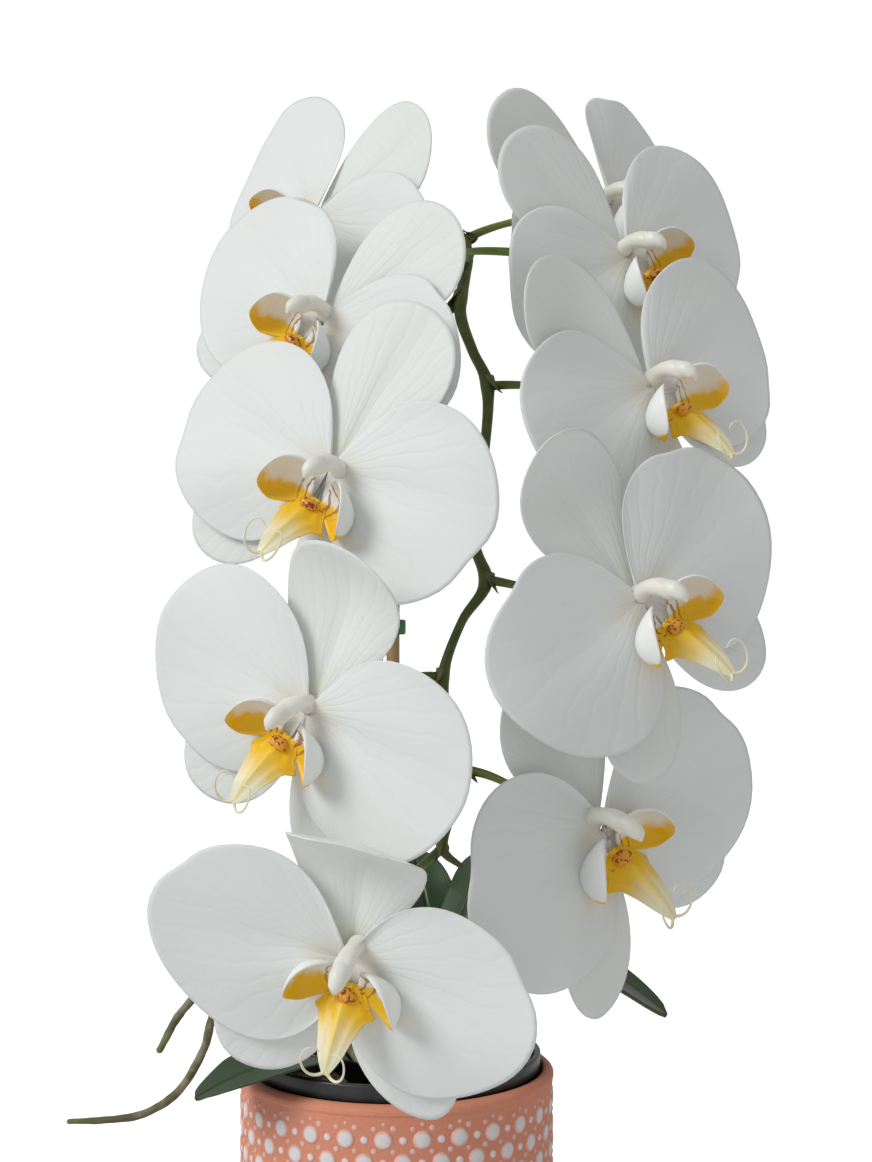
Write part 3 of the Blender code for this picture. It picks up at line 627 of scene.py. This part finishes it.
# ---- Pot, bark, stake, clip ----


def build_cover_pot(clay, glaze):
    """A straight pot with a rounded lip, and rows of raised dots set staggered below a plain band."""
    radius, top = node_box("cover_pot")[1][[0, 2]]
    wall, floor, face = 4.5, 6.0, radius - 0.55
    inner, lip = radius - wall, face + 0.5
    corners = [(0, 0), (face - 2.2, 0), (face, 2.2), (face, top - 4.0), (lip, top - 3.5), (lip, top - 1.6)]
    corners += [(face - 1.4, top), (inner + 0.6, top), (inner, top - 2.2), (inner, floor + 2)]
    corners += [(inner - 3, floor), (0, floor)]
    piece("cover_pot_wall", lathe(rounded(corners, 1.5), 192), clay, ["cover_pot"])
    piece("cover_pot_dots", dots(face, top), glaze, ["cover_pot"])


def dots(face, top):
    """Domes in big, small and tiny sizes, each a cap of two rings that is highest in its middle, with a flat
    back sunk in the wall."""
    rows, around = 13, 27
    places = []
    for row in range(rows):
        z = top - 12.2 - 8.1 * row
        turn_by = 0.5 * (row % 2)
        big = [((k + turn_by) / around, z, 3.6) for k in range(around)]
        small = [((k + turn_by + 0.5) / around, z, 1.6) for k in range(around)]
        tiny = [((k + turn_by + 0.25) / around, z + 4.2, 1.15) for k in range(around)]
        tiny += [((k + turn_by) / around, z + 5.6, 0.8) for k in range(around) if not row]
        tiny += [((k + turn_by + 0.75) / around, z + 4.0, 1.0) for k in range(around)]
        places += big + small + tiny
    share, height, size = np.array(places).T
    ring = np.array([0.0, 0.62, 1.0, 1.0])
    sides = 12
    a = np.arange(sides) * math.tau / sides
    x = (ring[1:, None] * np.cos(a)).ravel()
    y = (ring[1:, None] * np.sin(a)).ravel()
    depth = np.repeat(np.array([0.42, 0.0, -0.5]), sides)
    x, y, depth = (np.append(v, [w, w2]) for v, w, w2 in ((x, 0, 0), (y, 0, 0), (depth, 0.55, -0.5)))
    out = face + depth[None, :] * np.clip(size[:, None] / 2.2, 0.5, 1.0)
    angle = share[:, None] * math.tau + x[None, :] * size[:, None] / face
    level = height[:, None] + y[None, :] * size[:, None]
    points = np.stack([out * np.cos(angle), out * np.sin(angle), level], axis=-1)
    i = np.arange(sides)
    j = (i + 1) % sides
    quads = grid_quads(3, sides, closed=True)
    back = np.stack([i + 2 * sides, j + 2 * sides, np.full(sides, 3 * sides + 1)], 1)
    tris = np.concatenate([np.stack([j, i, np.full(sides, 3 * sides)], 1), back])
    count = len(places)
    step = (np.arange(count) * (3 * sides + 2))[:, None, None]
    flat = points.reshape(-1, 3)
    faces = outward(flat, [(quads[None] + step).reshape(-1, 4), (tris[None] + step).reshape(-1, 3)])
    reach = np.append(np.repeat(ring[1:], sides), [0.0, 1.0])
    grain = np.stack(np.broadcast_arrays(reach[None, :], size[:, None], share[:, None]), axis=-1)
    return flat, faces, grain.reshape(-1, 3)


def build_nursery_pot(finish):
    low, high = node_box("nursery_pot")
    rim, top, foot = high[0], high[2], low[2]
    under = top - 6.5
    corners = [(0, foot), (44.5, foot), (46, foot + 1.5), (52.8, under), (rim - 0.2, under), (rim, top - 0.5)]
    corners += [(rim - 0.7, top), (rim - 2.0, top), (rim - 2.6, top - 1.0), (rim - 2.9, under - 1.5)]
    corners += [(51.4, under - 4), (44.8, foot + 1.5), (0, foot + 1.5)]
    piece("nursery_pot_wall", lathe(rounded(corners, 0.6), 160), finish, ["nursery_pot"])


def build_bark(finish):
    """Bark chips heaped over the potting body: blocks of 24 faces, each stretched, knocked out of square and
    turned at random."""
    top = node_box("bark_medium")[1][2]
    draw = np.random.default_rng(11)
    line = np.linspace(-1, 1, 3)
    cell = np.stack(np.meshgrid(line, line, line, indexing="ij"), axis=-1).reshape(-1, 3)
    index = {tuple(p): i for i, p in enumerate(np.round(cell).astype(int).tolist())}
    faces = []
    for axis in range(3):
        one, two = (axis + 1) % 3, (axis + 2) % 3
        for end in (-1, 1):
            for p in (-1, 0):
                for q in (-1, 0):
                    corners = []
                    for dp, dq in ((0, 0), (1, 0), (1, 1), (0, 1)):
                        spot = [0, 0, 0]
                        spot[axis], spot[one], spot[two] = end, p + dp, q + dq
                        corners.append(index[tuple(spot)])
                    faces.append(corners if end > 0 else corners[::-1])
    faces = np.array(faces)
    count = 330
    size = draw.uniform([4.0, 2.6, 1.2], [8.5, 5.5, 2.6], (count, 3))
    block = cell[None] * size[:, None] * (1 - 0.16 * (np.abs(cell).sum(axis=1) > 2.5))[None, :, None]
    block = block + draw.normal(0, 0.45, (count, 27, 3))
    spin = draw.uniform(0, math.tau, count)
    lean = draw.normal(0, 0.45, (count, 2))
    flat = np.stack([np.cos(spin), np.sin(spin), lean[:, 0]], axis=-1)
    flat = unit(flat)
    upward = unit(np.cross(flat, np.stack([-np.sin(spin), np.cos(spin), lean[:, 1]], axis=-1)))
    beside = np.cross(upward, flat)
    frames = np.stack([flat, beside, upward], axis=1)
    reach = 43.5 * np.sqrt(draw.uniform(0, 1, count))
    angle = draw.uniform(0, math.tau, count)
    level = top + draw.uniform(-2.0, 4.5, count)
    centre = np.stack([reach * np.cos(angle), reach * np.sin(angle), level], axis=-1)
    points = (np.einsum("nij,njk->nik", block, frames) + centre[:, None]).reshape(-1, 3)
    step = (np.arange(count) * 27)[:, None, None]
    tone = np.repeat(draw.uniform(0, 1, count), 27)
    grain = np.stack([tone, tone, tone], axis=-1)
    faces = outward(points, [(faces[None] + step).reshape(-1, 4)])
    piece("bark_chips", (points, faces, grain), finish)


def build_stake(finish):
    """A bamboo cane: a slow taper, a ridge and a groove at each joint, and cut ends."""
    low, high = node_box("bamboo_stake")
    x, y = (low + high)[:2] / 2
    radius = (high[0] - low[0]) / 2
    z = np.linspace(low[2] + 0.3, high[2] - 0.3, 240)
    joints = np.array([142.0, 218.0, 312.0])
    off = z[:, None] - joints[None]
    ring = np.exp(-((off / 1.1) ** 2)).sum(axis=1) - 0.8 * np.exp(-(((off - 2.2) / 0.7) ** 2)).sum(axis=1)
    radii = radius * (0.93 + 0.065 * ring)
    path = np.stack([np.full_like(z, x), np.full_like(z, y), z], axis=-1)
    a = np.arange(28)[None, :] * math.tau / 28
    flutes = 1 + 0.012 * np.sin(5 * a + z[:, None] / 40)
    cane = tube(path, radii, 28, flutes)
    cane[0][:, 2] = np.clip(cane[0][:, 2], low[2], high[2])
    piece("bamboo_cane", cane, finish, ["bamboo_stake"])


def build_clip(finish):
    """A spring clip: a rounded strap swept round an oval, thickened into two finger tabs at the back."""
    low, high = node_box("stake_clip")
    middle = np.array([(low[0] + high[0]) / 2, 15.0, (low[2] + high[2]) / 2])
    a = np.linspace(0, math.tau, 120, endpoint=False)[:, None]
    b = (np.arange(16) * math.tau / 16)[None, :]
    square = (np.abs(np.cos(b)) ** 4 + np.abs(np.sin(b)) ** 4) ** -0.25
    tab = np.exp(-(((a - 1.13) / 0.15) ** 2)) + np.exp(-(((a - 2.01) / 0.15) ** 2))
    off = (0.55 + 1.25 * tab) * (1 + square * np.cos(b))
    x = (6.7 + off) * np.cos(a)
    y = (4.0 + off) * np.sin(a)
    z = 2.9 * square * np.sin(b) * np.ones_like(a)
    points = np.stack([x, y, z], axis=-1)
    rows = grid_quads(121, 16, closed=True) % (120 * 16)
    flat = points.reshape(-1, 3) + middle
    shape = flat, outward(flat, [rows]), np.zeros_like(flat)
    piece("clip_band", shape, finish, ["stake_clip"])


# ---- Finishes ----


def new_finish(name, roughness, **sockets):
    """A material with one Principled shader. Returns it, its node tree and the shader."""
    material = bpy.data.materials.new(name)
    material.use_nodes = True
    tree = material.node_tree
    shader = tree.nodes["Principled BSDF"]
    shader.inputs["Roughness"].default_value = roughness
    for key, value in sockets.items():
        shader.inputs[key.replace("_", " ")].default_value = value
    return material, tree, shader


def feed(tree, socket, value):
    if isinstance(value, bpy.types.NodeSocket):
        tree.links.new(value, socket)
    else:
        socket.default_value = (*value, 1.0) if socket.type == "RGBA" and len(value) == 3 else value


def calc(tree, operation, *values):
    node = tree.nodes.new("ShaderNodeMath")
    node.operation = operation
    for socket, value in zip(node.inputs, values):
        feed(tree, socket, value)
    return node.outputs[0]


def ease(tree, value, low, high):
    """0 at low, 1 at high, smooth between."""
    node = tree.nodes.new("ShaderNodeMapRange")
    node.interpolation_type = "SMOOTHSTEP"
    feed(tree, node.inputs["Value"], value)
    node.inputs["From Min"].default_value = low
    node.inputs["From Max"].default_value = high
    return node.outputs["Result"]


def fall(tree, value, low, high):
    """1 at low, 0 at high, smooth between."""
    return calc(tree, "SUBTRACT", 1.0, ease(tree, value, low, high))


def blend(tree, share, one, two):
    node = tree.nodes.new("ShaderNodeMix")
    node.data_type = "RGBA"
    feed(tree, node.inputs[0], share)
    feed(tree, node.inputs[6], one)
    feed(tree, node.inputs[7], two)
    return node.outputs[2]


def grain_of(tree):
    """The three numbers of the grain: across, along and side."""
    node = tree.nodes.new("ShaderNodeAttribute")
    node.attribute_name = "grain"
    parts = tree.nodes.new("ShaderNodeSeparateXYZ")
    tree.links.new(node.outputs["Vector"], parts.inputs[0])
    return parts.outputs


def object_spot(tree):
    """The object's own coordinates, in metres."""
    return tree.nodes.new("ShaderNodeTexCoord").outputs["Object"]


def cloud(tree, scale, detail=3.0, stretch=None, spot=None):
    """Noise over the object, in cycles to the metre, stretched along an axis where asked."""
    spot = spot or object_spot(tree)
    if stretch:
        sized = tree.nodes.new("ShaderNodeMapping")
        sized.inputs["Scale"].default_value = stretch
        tree.links.new(spot, sized.inputs["Vector"])
        spot = sized.outputs[0]
    node = tree.nodes.new("ShaderNodeTexNoise")
    node.inputs["Scale"].default_value = scale
    node.inputs["Detail"].default_value = detail
    tree.links.new(spot, node.inputs["Vector"])
    return node.outputs["Fac"]


def relief(tree, shader, height, strength, distance):
    node = tree.nodes.new("ShaderNodeBump")
    node.inputs["Strength"].default_value = strength
    node.inputs["Distance"].default_value = distance
    tree.links.new(height, node.inputs["Height"])
    tree.links.new(node.outputs["Normal"], shader.inputs["Normal"])


def petal_finish(name, white, heart):
    """White petal skin with veins that fan from the middle of the flower, warmer and greener at the heart."""
    material, tree, shader = new_finish(name, 0.52, Subsurface_Weight=0.16, Subsurface_Scale=0.004)
    shader.inputs["Subsurface Radius"].default_value = (1.0, 0.95, 0.85)
    shader.inputs["Specular IOR Level"].default_value = 0.35
    across, along, _ = grain_of(tree)
    drift = cloud(tree, 90, 2)
    fan = calc(tree, "SINE", calc(tree, "MULTIPLY_ADD", across, 44.0, calc(tree, "MULTIPLY", drift, 7.0)))
    vein = calc(tree, "POWER", calc(tree, "MULTIPLY_ADD", fan, 0.5, 0.5), 5.0)
    faint = calc(tree, "MULTIPLY", vein, calc(tree, "SUBTRACT", 1.0, along))
    tone = blend(tree, ease(tree, along, 0.04, 0.34), heart, white)
    tone = blend(tree, calc(tree, "MULTIPLY", faint, 0.09), tone, (0.70, 0.76, 0.66))
    feed(tree, shader.inputs["Base Color"], tone)
    skin = calc(tree, "MULTIPLY_ADD", cloud(tree, 900, 2), 0.35, calc(tree, "MULTIPLY", vein, -0.7))
    relief(tree, shader, skin, 0.30, 0.00035)
    return material


def side_lobe_finish():
    """White wings: inside, the lower part and the outer tip are egg yellow and the root is streaked."""
    material, tree, shader = new_finish("lip_wing", 0.42)
    across, along, side = grain_of(tree)
    drift = calc(tree, "MULTIPLY_ADD", cloud(tree, 320, 3), 0.5, -0.25)
    level = calc(tree, "ADD", across, drift)
    low = fall(tree, level, -0.45, 0.0)
    tip = ease(tree, calc(tree, "SUBTRACT", along, calc(tree, "MULTIPLY", across, 0.12)), 0.74, 0.90)
    inner = calc(tree, "MAXIMUM", low, calc(tree, "MULTIPLY", tip, 0.9))
    outer = fall(tree, calc(tree, "SUBTRACT", across, calc(tree, "MULTIPLY", along, 0.5)), -1.05, -0.70)
    outside = calc(tree, "MULTIPLY", outer, calc(tree, "SUBTRACT", 1.0, side))
    share = calc(tree, "MULTIPLY_ADD", inner, side, outside)
    tone = blend(tree, share, (0.92, 0.92, 0.89), (0.95, 0.56, 0.006))
    waver = calc(tree, "MULTIPLY", cloud(tree, 300, 2), 8.0)
    bars = calc(tree, "SINE", calc(tree, "MULTIPLY_ADD", along, 60.0, waver))
    streak = calc(tree, "MULTIPLY", ease(tree, bars, 0.35, 0.8), fall(tree, along, 0.12, 0.30))
    streak = calc(tree, "MULTIPLY", streak, side)
    tone = blend(tree, calc(tree, "MULTIPLY", streak, 0.75), tone, (0.25, 0.07, 0.03))
    feed(tree, shader.inputs["Base Color"], tone)
    relief(tree, shader, cloud(tree, 700, 2), 0.25, 0.0003)
    return material


def tongue_finish():
    """Egg yellow from the root, paler to cream at the point, with faint brown spots at the root."""
    material, tree, shader = new_finish("lip_tongue", 0.40)
    across, along, _ = grain_of(tree)
    fade = calc(tree, "ADD", along, calc(tree, "MULTIPLY_ADD", cloud(tree, 180, 2), 0.3, -0.15))
    tone = blend(tree, ease(tree, fade, 0.28, 0.78), (0.95, 0.57, 0.006), (0.92, 0.87, 0.62))
    keel = fall(tree, calc(tree, "ABSOLUTE", across), 0.05, 0.30)
    tone = blend(tree, calc(tree, "MULTIPLY", keel, 0.45), tone, (0.94, 0.66, 0.06))
    spots = calc(tree, "MULTIPLY", ease(tree, cloud(tree, 620, 1), 0.60, 0.68), fall(tree, along, 0.12, 0.30))
    tone = blend(tree, calc(tree, "MULTIPLY", spots, 0.7), tone, (0.30, 0.07, 0.02))
    feed(tree, shader.inputs["Base Color"], tone)
    relief(tree, shader, cloud(tree, 600, 2), 0.2, 0.0003)
    return material


def callus_finish():
    material, tree, shader = new_finish("lip_callus", 0.35, Coat_Weight=0.15)
    spots = ease(tree, cloud(tree, 850, 1), 0.54, 0.62)
    feed(tree, shader.inputs["Base Color"], blend(tree, spots, (0.85, 0.36, 0.02), (0.28, 0.05, 0.015)))
    return material


def plain_finish(name, tone, other, scale, roughness, depth=0.0, **sockets):
    """Two tones mottled by noise, with a relief where a depth is given."""
    material, tree, shader = new_finish(name, roughness, **sockets)
    mottle = cloud(tree, scale, 4)
    feed(tree, shader.inputs["Base Color"], blend(tree, ease(tree, mottle, 0.35, 0.65), tone, other))
    if depth:
        relief(tree, shader, cloud(tree, scale * 3, 4), 0.6, depth)
    return material


def stem_finish():
    """A flower's stem: dark olive by the stalk, yellow green further on, paler behind the flower."""
    material, tree, shader = new_finish("stem_green", 0.42)
    _, along, _ = grain_of(tree)
    tone = blend(tree, ease(tree, along, 0.0, 0.35), (0.055, 0.085, 0.012), (0.17, 0.23, 0.025))
    tone = blend(tree, ease(tree, along, 0.72, 1.0), tone, (0.36, 0.42, 0.14))
    tone = blend(tree, calc(tree, "MULTIPLY", cloud(tree, 500, 3), 0.35), tone, (0.08, 0.12, 0.02))
    feed(tree, shader.inputs["Base Color"], tone)
    return material


def leaf_finish():
    """Dark leathery leaf: lighter at its midrib and base, paler and browner underneath, with fine lines."""
    material, tree, shader = new_finish("leaf_skin", 0.36, Subsurface_Weight=0.03, Subsurface_Scale=0.002)
    across, along, side = grain_of(tree)
    mottle = cloud(tree, 60, 4)
    top = blend(tree, mottle, (0.012, 0.038, 0.010), (0.028, 0.070, 0.016))
    rib = fall(tree, calc(tree, "ABSOLUTE", across), 0.0, 0.10)
    top = blend(tree, calc(tree, "MULTIPLY", rib, 0.45), top, (0.060, 0.13, 0.025))
    base = fall(tree, along, 0.0, 0.40)
    top = blend(tree, calc(tree, "MULTIPLY", base, 0.6), top, (0.085, 0.16, 0.028))
    under = blend(tree, mottle, (0.045, 0.060, 0.022), (0.070, 0.075, 0.035))
    feed(tree, shader.inputs["Base Color"], blend(tree, side, under, top))
    lines = calc(tree, "SINE", calc(tree, "MULTIPLY", across, 85.0))
    relief(tree, shader, calc(tree, "MULTIPLY_ADD", lines, 0.3, cloud(tree, 700, 3)), 0.18, 0.0003)
    return material


def root_finish():
    """Silvery skin over green, worn brown in patches, greener towards the growing end."""
    material, tree, shader = new_finish("root_skin", 0.75)
    _, along, _ = grain_of(tree)
    patch = ease(tree, cloud(tree, 120, 5), 0.42, 0.62)
    tone = blend(tree, patch, (0.13, 0.12, 0.06), (0.26, 0.25, 0.17))
    tone = blend(tree, calc(tree, "MULTIPLY", ease(tree, along, 0.9, 1.0), 0.8), tone, (0.16, 0.20, 0.04))
    feed(tree, shader.inputs["Base Color"], tone)
    relief(tree, shader, cloud(tree, 900, 4), 0.6, 0.0005)
    return material


def clay_finish():
    material, tree, shader = new_finish("terracotta_clay", 0.72)
    tone = blend(tree, cloud(tree, 45, 5), (0.68, 0.245, 0.145), (0.78, 0.31, 0.20))
    tone = blend(tree, ease(tree, cloud(tree, 1500, 2), 0.62, 0.72), tone, (0.60, 0.20, 0.11))
    feed(tree, shader.inputs["Base Color"], tone)
    relief(tree, shader, cloud(tree, 1300, 4), 0.35, 0.0003)
    return material


def dot_finish():
    """Raised dots rubbed with pale slip: greyish white on top, pink at the edge, tiny ones pink all over."""
    material, tree, shader = new_finish("dot_slip", 0.6)
    reach, size, _ = grain_of(tree)
    edge = ease(tree, calc(tree, "ADD", reach, calc(tree, "MULTIPLY", cloud(tree, 500, 3), 0.35)), 0.70, 1.15)
    tone = blend(tree, edge, (0.78, 0.72, 0.73), (0.80, 0.40, 0.32))
    tone = blend(tree, fall(tree, size, 1.0, 1.5), tone, (0.80, 0.45, 0.38))
    feed(tree, shader.inputs["Base Color"], tone)
    relief(tree, shader, cloud(tree, 1100, 3), 0.3, 0.0003)
    return material


def bark_finish():
    """Each chip's own tone between grey brown and red brown, with dark fibres."""
    material, tree, shader = new_finish("bark_chip", 0.85)
    tone, _, _ = grain_of(tree)
    base = blend(tree, tone, (0.050, 0.026, 0.014), (0.150, 0.078, 0.042))
    fibre = cloud(tree, 420, 5, stretch=(1.0, 0.35, 1.8))
    tone = blend(tree, ease(tree, fibre, 0.45, 0.65), base, (0.022, 0.013, 0.009))
    feed(tree, shader.inputs["Base Color"], tone)
    relief(tree, shader, fibre, 0.8, 0.0012)
    return material


def bamboo_finish():
    """Tan cane with lengthwise fibres, a little darker in patches."""
    material, tree, shader = new_finish("bamboo_skin", 0.42)
    fibre = cloud(tree, 900, 3, stretch=(1.0, 1.0, 0.03))
    tone = blend(tree, fibre, (0.30, 0.19, 0.075), (0.48, 0.34, 0.15))
    tone = blend(tree, calc(tree, "MULTIPLY", cloud(tree, 30, 3), 0.5), tone, (0.22, 0.13, 0.05))
    feed(tree, shader.inputs["Base Color"], tone)
    relief(tree, shader, fibre, 0.3, 0.0002)
    return material


def flower_finishes():
    return {
        "petal": petal_finish("petal_skin", (0.85, 0.865, 0.855), (0.82, 0.78, 0.70)),
        "sepal": petal_finish("sepal_skin", (0.84, 0.855, 0.835), (0.78, 0.79, 0.66)),
        "lobe": side_lobe_finish(),
        "tongue": tongue_finish(),
        "callus": callus_finish(),
        "tendril": plain_finish("lip_tendril", (0.86, 0.80, 0.52), (0.88, 0.84, 0.66), 300, 0.4),
        "column": plain_finish(
            "column_skin", (0.90, 0.87, 0.79), (0.86, 0.81, 0.71), 120, 0.38, Subsurface_Weight=0.1
        ),
    }


# ---- The plant and its stage ----


def build_plant():
    finishes = flower_finishes()
    centres = {name: build_flower(name, k, finishes) for k, name in enumerate(FLOWERS)}
    spike = {
        "stalk": plain_finish("stalk_skin", (0.058, 0.078, 0.008), (0.095, 0.115, 0.014), 160, 0.45),
        "stem": stem_finish(),
        "bract": plain_finish("bract_skin", (0.10, 0.11, 0.025), (0.16, 0.11, 0.05), 250, 0.5),
    }
    build_spike(centres, spike)
    blade = leaf_finish()
    for name, (midrib, half_width, fold) in LEAVES.items():
        build_leaf(name, midrib, half_width, fold, blade)
    skin = root_finish()
    for name, points in ROOTS.items():
        build_root(name, points, skin)
    build_crown(plain_finish("crown_skin", (0.060, 0.080, 0.018), (0.11, 0.10, 0.045), 110, 0.6, 0.0006))


def build_support():
    build_cover_pot(clay_finish(), dot_finish())
    plastic = plain_finish(
        "nursery_pot_skin", (0.020, 0.021, 0.023), (0.030, 0.031, 0.033), 200, 0.32, 0.0001
    )
    build_nursery_pot(plastic)
    bark = bark_finish()
    build_bark(bark)
    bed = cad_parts["bark_medium"]
    bed.data.materials.clear()
    bed.data.materials.append(bark)
    build_stake(bamboo_finish())
    build_clip(plain_finish("clip_plastic", (0.035, 0.14, 0.030), (0.045, 0.17, 0.038), 300, 0.3))


def for_camera(tree, seen, unseen):
    """One value for what the camera sees directly and another for the light that falls on things."""
    path = tree.nodes.new("ShaderNodeLightPath")
    return calc(tree, "MULTIPLY_ADD", path.outputs["Is Camera Ray"], seen - unseen, unseen)


def build_stage():
    """A white studio: an even surround, one large soft key from the left, and a pale floor."""
    world = bpy.data.worlds.new("studio")
    bpy.context.scene.world = world
    world.use_nodes = True
    tree = world.node_tree
    tree.nodes["Background"].inputs["Color"].default_value = (1.0, 1.0, 1.0, 1.0)
    feed(tree, tree.nodes["Background"].inputs["Strength"], for_camera(tree, 1.06, 0.415))
    key = bpy.data.lights.new("key", "SUN")
    key.energy = 1.62
    key.angle = math.radians(28)
    key.color = (0.97, 1.0, 0.985)
    lamp = bpy.data.objects.new("key", key)
    toward = np.array([-0.70, -0.45, 0.55])
    lean = math.acos(toward[2] / np.linalg.norm(toward))
    lamp.rotation_euler = (lean, 0, math.atan2(toward[1], toward[0]) + math.pi / 2)
    bpy.context.scene.collection.objects.link(lamp)
    floor_mesh = bpy.data.meshes.new("floor")
    a = np.arange(96) * math.tau / 96
    ring = np.stack([15 * np.cos(a), 15 * np.sin(a), np.full(96, -0.0002)], axis=-1)
    floor_mesh.from_pydata(ring.tolist(), [], [list(range(96))])
    material, tree, shader = new_finish("pale_floor", 0.9)
    shader.inputs["Base Color"].default_value = (0.84, 0.85, 0.86, 1.0)
    shader.inputs["Emission Color"].default_value = (1.0, 1.0, 1.0, 1.0)
    feed(tree, shader.inputs["Emission Strength"], for_camera(tree, 0.66, 0.0))
    floor_mesh.materials.append(material)
    floor = bpy.data.objects.new("floor", floor_mesh)
    bpy.context.scene.collection.objects.link(floor)


def set_camera():
    data = bpy.data.cameras.new("front")
    data.lens = CAMERA_LENS
    camera = bpy.data.objects.new("front", data)
    camera.location = CAMERA_AT
    camera.rotation_euler = (math.pi / 2, 0, 0)
    bpy.context.scene.collection.objects.link(camera)
    bpy.context.scene.camera = camera
    bpy.context.scene.view_settings.view_transform = "Standard"


build_plant()
build_support()
build_stage()
set_camera()
